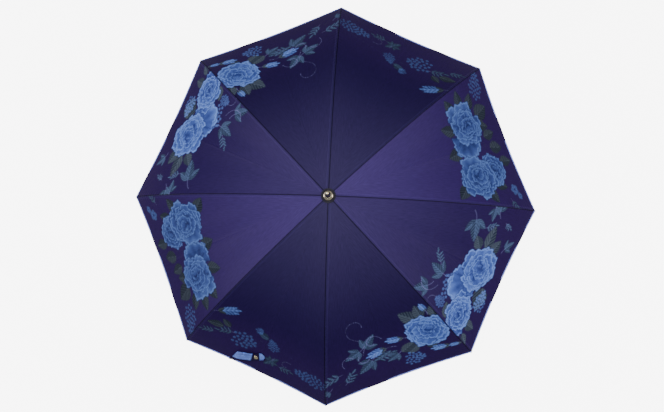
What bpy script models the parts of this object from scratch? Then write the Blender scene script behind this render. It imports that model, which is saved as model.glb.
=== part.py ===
"""Ladies' stick umbrella with eight ribs and a fabric canopy, drawn open.

The shaft stands on +Z. Each rib works in its own upright plane, and its pieces are drawn in a
frame at its notch pivot: X points away from the shaft, Y along the pivot, Z up. Notch pivot,
stretcher eye and runner pivot make a triangle with two equal sides, so the runner stays level
and follows the shaft while the ribs fold.
"""

import math

import bmesh
import bpy
from mathutils import Matrix, Vector

# Driving dimensions, in metres and degrees
RIB_COUNT = 8
RIB_LENGTH = 0.585
RIB_SLOPE_TOP = 6.0
RIB_SLOPE_TIP = 54.0
RIB_SLOPE_POWER = 1.5
RIB_DEPTH = 0.0036
RIB_WIDTH = 0.0026
FLEX_AT = 0.300
ROD_RADIUS = 0.0015
TIP_LENGTH = 0.015
TIP_END = 0.0030
TIP_WALL = 0.0008
EYE_RADIUS = 0.0024
EYE_HOLE_RADIUS = 0.0008
STRETCHER_EYE_AT = 0.272
EYE_BELOW_RIB = 0.0013
TAB_WIDTH = 0.0012
TAB_LENGTH = 0.013
STRETCHER_DEPTH = 0.0030
STRETCHER_FORK_WALL = 0.0007
FORK_LENGTH = 0.012
FOLD_ANGLE = 74.0

CROWN_CORE = 0.0011
CROWN_RIM = 0.0005
CROWN_TOP = 0.0018
CROWN_DEPTH = 0.0090
WIRE_RADIUS = 0.00045

SHAFT_RADIUS = 0.0050
SHAFT_WALL = 0.0008
SHAFT_BOTTOM = 0.008

RUNNER_LENGTH = 0.052
RUNNER_WALL = 0.0022
RUNNER_FLANGE_HEIGHT = 0.005
RUNNER_FLANGE_WIDTH = 0.0020
WINDOW_HEIGHT = 0.015
WINDOW_ABOVE_END = 0.008
SHUT_GAP = 0.0137

CANOPY_THICKNESS = 0.0008
CANOPY_GAP = 0.0010
CANOPY_END_GAP = 0.003
SADDLE_SHARE = 0.045
HEM_RISE = 0.010

CAP_RADIUS = 0.0130
CAP_HEIGHT = 0.0100
FERRULE_WALL = 0.0014
FERRULE_TIP_RADIUS = 0.0040
FERRULE_LENGTH = 0.060
FERRULE_GRIP = 0.016

HANDLE_RADIUS = 0.0105
HANDLE_TOP = 0.045
GRIP_BOTTOM = -0.045
CROOK_RADIUS = 0.036
CROOK_RISE = 0.030
COLLAR_WALL = 0.0031
COLLAR_HEIGHT = 0.009

SPRING_WIDTH = 0.0020
SPRING_THICKNESS = 0.0008
SPRING_LENGTH = 0.022
SPRING_NOSE_HEIGHT = 0.0085
SPRING_PROUD = 0.0033
SPRING_SET_BACK = 0.0020

STRAP_START = (0.024, 0.64)
STRAP_END = (0.082, 0.97)
STRAP_WIDTH = 0.020
STRAP_THICKNESS = 0.0010
STRAP_GAP = 0.0007
STRAP_RIB = 5

CLEARANCE = 0.0003
BORE_CLEARANCE = 0.0004
SLOT_CLEARANCE = 0.0003

TURN_STEPS = 24
WIRE_STEPS = 32
HOLE_SIDES = 8
WELD = 0.000002

# Values that follow from the driving dimensions
SECTOR = math.radians(360 / RIB_COUNT)
BORE_RADIUS = SHAFT_RADIUS + BORE_CLEARANCE
SLEEVE_RADIUS = BORE_RADIUS + RUNNER_WALL
FERRULE_RADIUS = BORE_RADIUS + FERRULE_WALL
COLLAR_RADIUS = BORE_RADIUS + COLLAR_WALL
TRENCH_HALF = WIRE_RADIUS + CLEARANCE
SLOT_INNER = BORE_RADIUS + CROWN_CORE
PIVOT_RADIUS = SLOT_INNER + 2 * CLEARANCE + EYE_RADIUS
CROWN_RADIUS = PIVOT_RADIUS + EYE_RADIUS + CROWN_RIM
EYE_DROP = RIB_DEPTH / 2 + EYE_BELOW_RIB + EYE_RADIUS
STRETCHER_WIDTH = TAB_WIDTH + 2 * (CLEARANCE + STRETCHER_FORK_WALL)
TIP_RADIUS = ROD_RADIUS + CLEARANCE + TIP_WALL
CANOPY_LIFT = max(RIB_DEPTH / 2, EYE_RADIUS, TIP_RADIUS) + CANOPY_GAP + CANOPY_THICKNESS / 2

SATIN_NAVY = ("satin_navy", (0.020, 0.013, 0.060, 1), 0.45, 0.0)
STRAP_BLUE = ("strap_blue", (0.13, 0.27, 0.62, 1), 0.6, 0.0)
NICKEL = ("nickel", (0.62, 0.60, 0.55, 1), 0.22, 1.0)
BLACK_STEEL = ("black_steel", (0.02, 0.02, 0.025, 1), 0.35, 0.6)
BLACK_PLASTIC = ("black_plastic", (0.015, 0.014, 0.018, 1), 0.4, 0.0)
GLASS_FIBRE = ("glass_fibre", (0.03, 0.03, 0.035, 1), 0.4, 0.0)
DARK_WOOD = ("dark_wood", (0.10, 0.035, 0.015, 1), 0.3, 0.0)


def remove_old_objects():
    for old in list(bpy.data.objects):
        bpy.data.objects.remove(old, do_unlink=True)


def collection(name):
    made = bpy.data.collections.new(name)
    bpy.context.scene.collection.children.link(made)
    return made


def material(finish):
    name, colour, roughness, metallic = finish
    if name in bpy.data.materials:
        return bpy.data.materials[name]
    made = bpy.data.materials.new(name)
    made.use_nodes = True
    shader = made.node_tree.nodes["Principled BSDF"]
    shader.inputs["Base Color"].default_value = colour
    shader.inputs["Roughness"].default_value = roughness
    shader.inputs["Metallic"].default_value = metallic
    return made


def add_object(name, data, finish, parent=None, location=(0, 0, 0)):
    """One named piece, placed in its parent's frame. Pieces may share their mesh."""
    made = bpy.data.objects.new(name, data)
    PARTS.objects.link(made)
    made.parent = parent
    made.location = location
    if not data.materials:
        data.materials.append(material(finish))
    return made


def joint_empty(name, parent, location, turn=0.0):
    """An empty on a joint's axis, with the axis along its Y."""
    made = bpy.data.objects.new(name, None)
    PARTS.objects.link(made)
    made.empty_display_size = 0.01
    made.parent = parent
    made.location = location
    made.rotation_euler = (0, 0, turn)
    return made


def scratch_object(data):
    made = bpy.data.objects.new("scratch", data)
    CUTTERS.objects.link(made)
    made.hide_render = True
    made.display_type = "WIRE"
    return made


def evaluated_mesh(source, name):
    """The mesh that a curve or a modifier stack gives, welded, in place of its object."""
    bpy.context.view_layer.update()
    depsgraph = bpy.context.evaluated_depsgraph_get()
    mesh = bpy.data.meshes.new_from_object(source.evaluated_get(depsgraph))
    mesh.name = name
    edit = bmesh.new()
    edit.from_mesh(mesh)
    bmesh.ops.remove_doubles(edit, verts=edit.verts, dist=WELD)
    edit.to_mesh(mesh)
    edit.free()
    bpy.data.objects.remove(source)
    return mesh


def smooth(mesh, angle=40):
    mesh.shade_smooth()
    mesh.set_sharp_from_angle(angle=math.radians(angle))
    return mesh


def box_cutter(boxes):
    """One cutter of several boxes: each is a size, then the matrix that places it."""
    edit = bmesh.new()
    for size, place in boxes:
        scale = Matrix.Diagonal((*size, 1.0))
        bmesh.ops.create_cube(edit, size=1.0, matrix=place @ scale)
    mesh = bpy.data.meshes.new("cutter")
    edit.to_mesh(mesh)
    edit.free()
    return scratch_object(mesh)


def cut(mesh, cutter):
    """The mesh less the cutter's shape."""
    body = scratch_object(mesh)
    modifier = body.modifiers.new("cut", "BOOLEAN")
    modifier.operation = "DIFFERENCE"
    modifier.object = cutter
    result = evaluated_mesh(body, mesh.name)
    bpy.data.objects.remove(cutter)
    return result


def plate(name, loops, width):
    """A flat outline in the X-Z plane, with holes after the first loop, centred on Y."""
    curve = bpy.data.curves.new(name, "CURVE")
    curve.dimensions = "2D"
    curve.fill_mode = "BOTH"
    curve.extrude = width / 2
    for loop in loops:
        spline = curve.splines.new("POLY")
        spline.points.add(len(loop) - 1)
        for point, (x, z) in zip(spline.points, loop):
            point.co = (x, z, 0, 1)
        spline.use_cyclic_u = True
    mesh = evaluated_mesh(scratch_object(curve), name)
    mesh.transform(Matrix.Rotation(math.radians(90), 4, "X"))
    return mesh


def turned(name, profile, steps=TURN_STEPS, ring=False):
    """A profile of (radius, z) points, outer side downwards, turned about Z."""
    edit = bmesh.new()
    points = [edit.verts.new((radius, 0, z)) for radius, z in profile]
    for first, second in zip(points, points[1:]):
        edit.edges.new((first, second))
    if ring:
        edit.edges.new((points[-1], points[0]))
    mesh = bpy.data.meshes.new(name)
    edit.to_mesh(mesh)
    edit.free()
    body = scratch_object(mesh)
    screw = body.modifiers.new("turn", "SCREW")
    screw.steps = screw.render_steps = steps
    screw.use_merge_vertices = True
    screw.merge_threshold = WELD
    return evaluated_mesh(body, name)


def tube(name, points, radius, resolution=2):
    curve = bpy.data.curves.new(name, "CURVE")
    curve.dimensions = "3D"
    curve.bevel_depth = radius
    curve.bevel_resolution = resolution
    curve.use_fill_caps = True
    spline = curve.splines.new("POLY")
    spline.points.add(len(points) - 1)
    for point, place in zip(spline.points, points):
        point.co = (*place, 1)
    return evaluated_mesh(scratch_object(curve), name)


def arc(centre, radius, start, end, count):
    """Points on an arc in a plate's plane, in degrees from +X towards +Z."""
    turns = [math.radians(start + (end - start) * i / (count - 1)) for i in range(count)]
    return [(centre[0] + radius * math.cos(t), centre[1] + radius * math.sin(t)) for t in turns]


def hole(centre):
    return arc(centre, EYE_HOLE_RADIUS, 0, 360 - 360 / HOLE_SIDES, HOLE_SIDES)


# The rib's line and the canopy's surface


def slope_at(s):
    """Dip of the open rib below level, at a length s along it."""
    share = max(s, 0) / RIB_LENGTH
    return math.radians(RIB_SLOPE_TOP + (RIB_SLOPE_TIP - RIB_SLOPE_TOP) * share**RIB_SLOPE_POWER)


def rib_point(s, lift=0.0):
    """(x, z) at a length s along the open rib, lifted square off its centre line."""
    steps = 60
    x = z = 0.0
    for i in range(steps):
        dip = slope_at((i + 0.5) * s / steps)
        x += math.cos(dip) * s / steps
        z -= math.sin(dip) * s / steps
    dip = slope_at(s)
    return x + lift * math.sin(dip), z + lift * math.cos(dip)


def canopy_point(s, w):
    """Surface point in a rib's frame: s along the rib, w from -1 to 1 between the two gores' middles."""
    between = 2 * abs(w) - w * w
    s = s - HEM_RISE * between * (s / RIB_LENGTH) ** 3
    x, z = rib_point(s, CANOPY_LIFT)
    radius = PIVOT_RADIUS + x
    chord = 2 * radius * math.sin(SECTOR / 2)
    sag = SADDLE_SHARE * chord * between * (1 - (s / RIB_LENGTH) ** 4)
    dip = slope_at(s)
    along = radius * (1 - abs(w) * (1 - math.cos(SECTOR)) / 2)
    across = w * radius * math.sin(SECTOR) / 2
    inward = 1 - sag * math.sin(dip) / math.hypot(along, across)
    across = across * inward - w * CLEARANCE
    return Vector((along * inward - PIVOT_RADIUS, across, z - sag * math.cos(dip)))


EYE = rib_point(STRETCHER_EYE_AT, -EYE_DROP)
ARM = math.hypot(*EYE)
OPEN_DIP = math.asin(-EYE[1] / ARM)
FLEX = rib_point(FLEX_AT, CANOPY_LIFT)

# Heights, built up from the handle: the shut runner stops a little above the collar

COLLAR_TOP = HANDLE_TOP + CLEARANCE + COLLAR_HEIGHT
RUNNER_Z_SHUT = COLLAR_TOP + SHUT_GAP + RUNNER_LENGTH
NOTCH_Z = RUNNER_Z_SHUT + 2 * ARM * math.sin(OPEN_DIP + math.radians(FOLD_ANGLE))
RUNNER_Z = NOTCH_Z - 2 * ARM * math.sin(OPEN_DIP)
CAP_BOTTOM = NOTCH_Z + CANOPY_LIFT + CANOPY_THICKNESS / 2 + 2 * CLEARANCE
FERRULE_FOOT = CAP_BOTTOM + CAP_HEIGHT + CLEARANCE
SHAFT_TOP = FERRULE_FOOT + FERRULE_GRIP - CLEARANCE
NOSE_GAP = 0.0005
TOP_SPRING_FOOT = RUNNER_Z - RUNNER_LENGTH - NOSE_GAP - SPRING_NOSE_HEIGHT - SPRING_LENGTH
WINDOW_MIDDLE = WINDOW_ABOVE_END + WINDOW_HEIGHT / 2 - RUNNER_LENGTH
BOTTOM_SPRING_FOOT = RUNNER_Z_SHUT + WINDOW_MIDDLE - SPRING_NOSE_HEIGHT / 2 - SPRING_LENGTH


# Frame pieces that stay with the shaft


def make_shaft():
    inner = SHAFT_RADIUS - SHAFT_WALL
    profile = [
        (inner, SHAFT_TOP),
        (SHAFT_RADIUS, SHAFT_TOP),
        (SHAFT_RADIUS, SHAFT_BOTTOM),
        (inner, SHAFT_BOTTOM),
    ]
    mesh = turned("shaft", profile, ring=True)
    height = SPRING_LENGTH + SPRING_NOSE_HEIGHT
    size = (2 * SHAFT_RADIUS, SPRING_WIDTH + 2 * CLEARANCE, height + 4 * CLEARANCE)
    slots = [
        (size, Matrix.Translation((SHAFT_RADIUS + SHAFT_RADIUS / 2, 0, foot + height / 2)))
        for foot in (TOP_SPRING_FOOT, BOTTOM_SPRING_FOOT)
    ]
    return add_object("shaft", smooth(cut(mesh, box_cutter(slots))), NICKEL)


def crown_slots(width, low, high, z):
    """Radial slots for the eyes, open at the rim, from low to high about the wire at z."""
    length = CROWN_RADIUS + 0.002 - SLOT_INNER
    size = (length, width, high - low)
    boxes = []
    for k in range(RIB_COUNT):
        place = Matrix.Rotation(k * SECTOR, 4, "Z")
        place = place @ Matrix.Translation((SLOT_INNER + length / 2, 0, z + (low + high) / 2))
        boxes.append((size, place))
    return box_cutter(boxes)


def make_notch():
    top = NOTCH_Z + CROWN_TOP
    bottom = top - CROWN_DEPTH
    trench = NOTCH_Z - TRENCH_HALF
    profile = [
        (BORE_RADIUS, top),
        (PIVOT_RADIUS - TRENCH_HALF, top),
        (PIVOT_RADIUS - TRENCH_HALF, trench),
        (PIVOT_RADIUS + TRENCH_HALF, trench),
        (PIVOT_RADIUS + TRENCH_HALF, top),
        (CROWN_RADIUS, top),
        (CROWN_RADIUS, bottom),
        (BORE_RADIUS, bottom),
    ]
    mesh = turned("notch", profile, ring=True)
    deep = CROWN_DEPTH + EYE_RADIUS
    slots = crown_slots(RIB_WIDTH + 2 * SLOT_CLEARANCE, -deep, EYE_RADIUS, NOTCH_Z)
    return add_object("notch", smooth(cut(mesh, slots)), BLACK_PLASTIC)


def make_tie_wire(name, parent, z):
    bpy.ops.mesh.primitive_torus_add(
        major_segments=WIRE_STEPS,
        minor_segments=6,
        major_radius=PIVOT_RADIUS,
        minor_radius=WIRE_RADIUS,
    )
    ring = bpy.context.object
    mesh = ring.data
    bpy.data.objects.remove(ring)
    return add_object(name, smooth(mesh, 80), NICKEL, parent, (0, 0, z))


def make_top_cap():
    bottom = CAP_BOTTOM
    top = bottom + CAP_HEIGHT
    neck = FERRULE_RADIUS + 0.0008
    profile = [(BORE_RADIUS, top), (neck, top)]
    profile += [
        (
            neck + (CAP_RADIUS - neck) * math.sin(math.radians(turn)),
            bottom + 0.0015 + (CAP_HEIGHT - 0.0030) * math.cos(math.radians(turn)),
        )
        for turn in (15, 40, 65, 90)
    ]
    profile += [(CAP_RADIUS, bottom), (BORE_RADIUS, bottom)]
    return add_object("top_cap", smooth(turned("top_cap", profile, ring=True)), NICKEL)


def make_ferrule():
    foot = FERRULE_FOOT
    top = foot + FERRULE_LENGTH
    bore_top = foot + FERRULE_GRIP
    profile = [
        (0, top),
        (FERRULE_TIP_RADIUS, top),
        (FERRULE_TIP_RADIUS + 0.0008, top - 0.0012),
        (FERRULE_TIP_RADIUS + 0.0008, top - 0.010),
        (FERRULE_TIP_RADIUS, top - 0.0112),
        (FERRULE_RADIUS - 0.0008, bore_top + 0.004),
        (FERRULE_RADIUS, bore_top),
        (FERRULE_RADIUS, foot),
        (BORE_RADIUS, foot),
        (BORE_RADIUS, bore_top),
        (0, bore_top),
    ]
    return add_object("ferrule", smooth(turned("ferrule", profile)), NICKEL)


def crook_points():
    """Centre line of the handle: straight grip, half turn towards +X, short rise."""
    points = [(0, 0, HANDLE_TOP), (0, 0, GRIP_BOTTOM)]
    turns = 14
    for i in range(1, turns + 1):
        turn = math.pi * i / turns
        x = CROOK_RADIUS * (1 - math.cos(turn))
        points.append((x, 0, GRIP_BOTTOM - CROOK_RADIUS * math.sin(turn)))
    points.append((2 * CROOK_RADIUS, 0, GRIP_BOTTOM + CROOK_RISE))
    return points


def make_handle():
    mesh = tube("handle", crook_points(), HANDLE_RADIUS, resolution=3)
    depth = HANDLE_TOP - SHAFT_BOTTOM + 2 * CLEARANCE
    edit = bmesh.new()
    centre = Matrix.Translation((0, 0, HANDLE_TOP - depth / 2 + CLEARANCE))
    bmesh.ops.create_cone(
        edit,
        cap_ends=True,
        segments=TURN_STEPS,
        radius1=BORE_RADIUS,
        radius2=BORE_RADIUS,
        depth=depth + 2 * CLEARANCE,
        matrix=centre,
    )
    bore = bpy.data.meshes.new("cutter")
    edit.to_mesh(bore)
    edit.free()
    return add_object("handle", smooth(cut(mesh, scratch_object(bore))), DARK_WOOD)


def make_handle_collar():
    edge = COLLAR_WALL / 2
    bottom = HANDLE_TOP + CLEARANCE
    profile = [
        (BORE_RADIUS, COLLAR_TOP),
        (COLLAR_RADIUS - edge, COLLAR_TOP),
        (COLLAR_RADIUS, COLLAR_TOP - edge),
        (COLLAR_RADIUS, bottom),
        (BORE_RADIUS, bottom),
    ]
    return add_object("handle_collar", smooth(turned("handle_collar", profile, ring=True)), NICKEL)


# Pieces that press or slide on the shaft


def make_spring(name, foot):
    """Leaf in the shaft with a nose through its slot, ledge up. It hinges at its foot."""
    back = SHAFT_RADIUS - SHAFT_WALL - SPRING_SET_BACK
    front = back + SPRING_THICKNESS
    nose = SHAFT_RADIUS + SPRING_PROUD
    top = SPRING_LENGTH + SPRING_NOSE_HEIGHT
    loop = [
        (-SPRING_THICKNESS / 2, 0),
        (SPRING_THICKNESS / 2, 0),
        (front - back - SPRING_THICKNESS / 2, SPRING_LENGTH),
        (nose - back, top - 0.0025),
        (nose - back, top),
        (-SPRING_THICKNESS / 2, top),
    ]
    pivot = joint_empty(name + "_pivot", None, (back, 0, foot))
    return add_object(name, plate(name, [loop], SPRING_WIDTH), NICKEL, pivot)


def make_runner():
    """Crown with eight slots over a long sleeve. Its origin is the middle of its wire."""
    sleeve_top = CROWN_TOP - CROWN_DEPTH
    flange = SLEEVE_RADIUS + RUNNER_FLANGE_WIDTH
    profile = [
        (BORE_RADIUS, EYE_RADIUS),
        (PIVOT_RADIUS - TRENCH_HALF, EYE_RADIUS),
        (PIVOT_RADIUS - TRENCH_HALF, -TRENCH_HALF),
        (PIVOT_RADIUS + TRENCH_HALF, -TRENCH_HALF),
        (PIVOT_RADIUS + TRENCH_HALF, EYE_RADIUS),
        (CROWN_RADIUS, EYE_RADIUS),
        (CROWN_RADIUS, sleeve_top),
        (SLEEVE_RADIUS, sleeve_top - 0.003),
        (SLEEVE_RADIUS, -RUNNER_LENGTH + RUNNER_FLANGE_HEIGHT + 0.002),
        (flange, -RUNNER_LENGTH + RUNNER_FLANGE_HEIGHT),
        (flange, -RUNNER_LENGTH),
        (BORE_RADIUS, -RUNNER_LENGTH),
    ]
    mesh = turned("runner", profile, ring=True)
    slots = crown_slots(STRETCHER_WIDTH + 2 * SLOT_CLEARANCE, -EYE_RADIUS - CLEARANCE, 2 * EYE_RADIUS, 0)
    mesh = cut(mesh, slots)
    size = (2 * SLEEVE_RADIUS, SPRING_WIDTH + 4 * CLEARANCE, WINDOW_HEIGHT)
    window = box_cutter([(size, Matrix.Translation((BORE_RADIUS / 2 + SLEEVE_RADIUS, 0, WINDOW_MIDDLE)))])
    return add_object("runner", smooth(cut(mesh, window)), BLACK_PLASTIC, None, (0, 0, RUNNER_Z))


# Pieces repeated round the shaft


def rib_mesh():
    """Steel rib from the notch eye to the flex joint, with a thin tab for the stretcher."""
    half = RIB_DEPTH / 2
    start = 1.25 * EYE_RADIUS
    end = FLEX_AT - CLEARANCE
    top = [rib_point(start + (end - start) * i / 9, half) for i in range(10)]
    outer = [rib_point(s, -half) for s in (end, STRETCHER_EYE_AT + TAB_LENGTH / 2)]
    tab_start = STRETCHER_EYE_AT - TAB_LENGTH / 2
    inner = [rib_point(tab_start - (tab_start - start) * i / 7, -half) for i in range(8)]
    dip = math.degrees(slope_at(STRETCHER_EYE_AT))
    tab = arc(EYE, EYE_RADIUS, -dip, -180 - dip, 8)
    eye = arc((0, 0), EYE_RADIUS, 300, 60, 9)
    mesh = plate("rib", [top + outer + tab + inner + eye, hole((0, 0)), hole(EYE)], RIB_WIDTH)
    side = (RIB_WIDTH - TAB_WIDTH) / 2
    height = EYE_DROP - half - CLEARANCE + 2 * EYE_RADIUS
    turn = Matrix.Rotation(math.radians(dip), 4, "Y")
    boxes = []
    for sign in (-1, 1):
        y = sign * (TAB_WIDTH / 2 + side)
        inside = Matrix.Translation((0, y, EYE_DROP - half - CLEARANCE - height / 2))
        size = (2 * TAB_LENGTH, 2 * side, height)
        boxes.append((size, Matrix.Translation((EYE[0], 0, EYE[1])) @ turn @ inside))
    return cut(mesh, box_cutter(boxes))


def rod_points():
    """Centre line of the glass fibre rod, from the flex joint to its end, about the flex joint."""
    start = FLEX_AT + CLEARANCE
    points = [rib_point(start + (RIB_LENGTH - start) * i / 9) for i in range(10)]
    return [Vector((x - FLEX[0], 0, z - FLEX[1])) for x, z in points]


def outer_rib_mesh():
    return smooth(tube("outer_rib", rod_points(), ROD_RADIUS, resolution=2))


def tip_mesh():
    """Blind cup over the rod's end, about the flex joint."""
    bore = ROD_RADIUS + CLEARANCE
    floor = CLEARANCE
    top = floor + TIP_END
    profile = [
        (0, top),
        (TIP_RADIUS * 0.6, top),
        (TIP_RADIUS, top - TIP_END / 2),
        (TIP_RADIUS, top - TIP_LENGTH),
        (bore, top - TIP_LENGTH),
        (bore, floor),
        (0, floor),
    ]
    mesh = turned("tip", profile, steps=10)
    before, end = rod_points()[-2:]
    along = (end - before).normalized()
    mesh.transform(Matrix.Translation(end) @ along.to_track_quat("Z", "Y").to_matrix().to_4x4())
    return smooth(mesh)


def stretcher_mesh():
    """Bar from the rib's tab, where it is forked, to the runner's wire, about the tab's eye."""
    half = STRETCHER_DEPTH / 2
    fork = arc((0, 0), EYE_RADIUS, -140, 140, 9)
    foot = arc((-ARM, 0), EYE_RADIUS, 40, 320, 9)
    neck = 1.7 * EYE_RADIUS
    loop = fork + [(-neck, half), (-ARM + neck, half)] + foot + [(-ARM + neck, -half), (-neck, -half)]
    mesh = plate("stretcher", [loop, hole((0, 0)), hole((-ARM, 0))], STRETCHER_WIDTH)
    length = FORK_LENGTH + 2 * EYE_RADIUS
    size = (length, TAB_WIDTH + 2 * CLEARANCE, 4 * EYE_RADIUS)
    slot = box_cutter([(size, Matrix.Translation((EYE_RADIUS * 1.5 - length / 2, 0, 0)))])
    mesh = cut(mesh, slot)
    mesh.transform(Matrix.Rotation(-OPEN_DIP, 4, "Y"))
    return mesh


def canopy_mesh(name, start, end, rows, origin):
    """Cloth over one rib, from the middle of one gore to the middle of the next."""
    edit = bmesh.new()
    bmesh.ops.create_grid(edit, x_segments=rows, y_segments=4, size=1.0)
    for vert in edit.verts:
        s = start + (end - start) * (vert.co.x + 1) / 2
        vert.co = canopy_point(s, vert.co.y) - Vector(origin)
    mesh = bpy.data.meshes.new(name)
    edit.to_mesh(mesh)
    edit.free()
    body = scratch_object(mesh)
    wall = body.modifiers.new("cloth", "SOLIDIFY")
    wall.thickness = CANOPY_THICKNESS
    wall.offset = 0
    return smooth(evaluated_mesh(body, name), 60)


def make_rib_sets():
    """Ribs, stretchers, tips and canopy sections, each on the empty of its own joint."""
    eye = (EYE[0], 0, EYE[1])
    flex = (FLEX[0], 0, FLEX[1])
    rib = rib_mesh()
    outer_rib = outer_rib_mesh()
    tip = tip_mesh()
    stretcher = stretcher_mesh()
    hem = RIB_LENGTH - CANOPY_END_GAP
    upper = canopy_mesh("canopy_upper", CLEARANCE, FLEX_AT - CLEARANCE, 5, (0, 0, 0))
    lower = canopy_mesh("canopy_lower", FLEX_AT + CLEARANCE, hem, 7, flex)
    flex_joints = []
    for k in range(RIB_COUNT):
        turn = k * SECTOR
        at = (PIVOT_RADIUS * math.cos(turn), PIVOT_RADIUS * math.sin(turn), NOTCH_Z)
        rib_joint = joint_empty(f"rib_joint_{k + 1}", None, at, turn)
        flex_joint = joint_empty(f"flex_joint_{k + 1}", rib_joint, flex)
        stretcher_joint = joint_empty(f"stretcher_joint_{k + 1}", rib_joint, eye)
        add_object(f"rib_{k + 1}", rib, BLACK_STEEL, rib_joint)
        add_object(f"outer_rib_{k + 1}", outer_rib, GLASS_FIBRE, flex_joint)
        add_object(f"rib_tip_{k + 1}", tip, BLACK_PLASTIC, flex_joint)
        add_object(f"stretcher_{k + 1}", stretcher, BLACK_STEEL, stretcher_joint)
        add_object(f"canopy_upper_{k + 1}", upper, SATIN_NAVY, rib_joint)
        add_object(f"canopy_lower_{k + 1}", lower, SATIN_NAVY, flex_joint)
        flex_joints.append(flex_joint)
    return flex_joints


def surface_frame(s, w, ahead):
    """Point, forward, side and normal on the canopy, forward towards the point ahead."""
    here = canopy_point(s, w)
    step = 0.002
    along = canopy_point(s + step, w) - here
    across = canopy_point(s, w + step) - here
    normal = along.cross(across).normalized()
    forward = ahead - here
    forward = (forward - forward.dot(normal) * normal).normalized()
    return here, forward, normal.cross(forward), normal


def make_strap(flex_joint):
    """Closing strap, sewn to the hem and laid back on the canopy. It hinges at its seam."""
    spans = 5
    lift = CANOPY_THICKNESS / 2 + STRAP_GAP + STRAP_THICKNESS / 2
    start, end = (Vector((RIB_LENGTH - up, w)) for up, w in (STRAP_START, STRAP_END))
    edit = bmesh.new()
    bmesh.ops.create_grid(edit, x_segments=spans, y_segments=1, size=1.0)
    origin, forward, side, normal = surface_frame(*start, canopy_point(*end))
    pivot = origin + lift * normal
    for vert in edit.verts:
        share = (vert.co.x + 1) / 2
        s, w = start.lerp(end, share)
        beyond = canopy_point(*(start.lerp(end, share + 0.1)))
        here, _, beside, up = surface_frame(s, w, beyond)
        vert.co = here + vert.co.y * STRAP_WIDTH / 2 * beside + lift * up - pivot
    mesh = bpy.data.meshes.new("strap")
    edit.to_mesh(mesh)
    edit.free()
    body = scratch_object(mesh)
    wall = body.modifiers.new("band", "SOLIDIFY")
    wall.thickness = STRAP_THICKNESS
    wall.offset = 0
    mesh = smooth(evaluated_mesh(body, "strap"))
    place = pivot - Vector((FLEX[0], 0, FLEX[1]))
    return add_object("strap", mesh, STRAP_BLUE, flex_joint, place)


remove_old_objects()
PARTS = collection("stick_umbrella")
CUTTERS = collection("cutters")

make_shaft()
make_notch()
make_tie_wire("notch_wire", None, NOTCH_Z)
make_top_cap()
make_ferrule()
make_handle()
make_handle_collar()
make_spring("top_spring", TOP_SPRING_FOOT)
make_spring("bottom_spring", BOTTOM_SPRING_FOOT)
runner = make_runner()
make_tie_wire("runner_wire", runner, 0)
joints = make_rib_sets()
make_strap(joints[STRAP_RIB])
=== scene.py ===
"""Ladies' stick umbrella with a floral border: its finished look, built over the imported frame.

The shaft stands on +Z and rib 1 points along +X, with the other ribs anticlockwise from it. The
canopy is worked out in the frame of one rib's notch pivot and turned round the shaft. A gore is
the cloth between two ribs, and a panel is the cloth over one rib, out to the middle of the gore on
each side.
"""

import math
import bmesh
import bpy
import numpy as np
from bpy.props import FloatProperty, IntProperty, PointerProperty, StringProperty
from mathutils import Matrix, Vector


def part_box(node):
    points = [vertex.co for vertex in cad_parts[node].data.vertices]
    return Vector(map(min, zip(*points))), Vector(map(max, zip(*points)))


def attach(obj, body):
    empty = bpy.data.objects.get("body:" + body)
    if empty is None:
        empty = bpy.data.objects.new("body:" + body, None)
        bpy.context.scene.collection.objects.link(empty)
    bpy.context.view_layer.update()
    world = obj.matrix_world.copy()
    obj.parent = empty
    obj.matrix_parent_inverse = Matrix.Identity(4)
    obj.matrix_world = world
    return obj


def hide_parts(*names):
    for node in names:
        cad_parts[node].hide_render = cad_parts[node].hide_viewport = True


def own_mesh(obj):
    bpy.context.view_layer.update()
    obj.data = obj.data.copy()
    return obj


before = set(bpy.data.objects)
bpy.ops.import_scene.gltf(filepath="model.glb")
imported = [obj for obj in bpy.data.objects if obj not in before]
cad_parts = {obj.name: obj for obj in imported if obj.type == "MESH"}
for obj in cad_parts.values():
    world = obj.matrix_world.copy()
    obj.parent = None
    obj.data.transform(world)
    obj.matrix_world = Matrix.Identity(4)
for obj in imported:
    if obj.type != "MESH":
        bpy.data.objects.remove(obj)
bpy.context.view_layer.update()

bl_info = {
    "name": "Stick umbrella",
    "version": (1, 0, 0),
    "blender": (4, 5, 0),
    "location": "View3D > Sidebar > Umbrella",
    "description": "Builds the cloth, fittings, finishes and stage of a stick umbrella",
    "category": "Object",
}

RIB_COUNT = 8
SECTOR = math.radians(360 / RIB_COUNT)

# The ribs turn on the notch's wire, a ring whose middle line has PIVOT_RADIUS and is NOTCH_Z high
WIRE_LOW, WIRE_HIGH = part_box("notch_wire")
WIRE_RADIUS = (WIRE_HIGH.z - WIRE_LOW.z) / 2
PIVOT_RADIUS = WIRE_HIGH.x - WIRE_RADIUS
NOTCH_Z = ((WIRE_LOW + WIRE_HIGH) / 2).z


# Sizes and colours that a user would change


def number(name, description, default, **limits):
    return FloatProperty(name=name, description=description, default=default, **limits)


def length(name, description, default):
    return number(name, description, default, min=0.0, precision=4, unit="LENGTH")


def share(name, description, default, highest=1.0):
    return number(name, description, default, min=0.0, max=highest, subtype="FACTOR")


def mesh_count(name, description, default):
    return IntProperty(name=name, description=description, default=default, min=8)


def dye_colour(name, description, default):
    description += ", as an sRGB hex value"
    return StringProperty(name=name, description=description, default=default)


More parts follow.
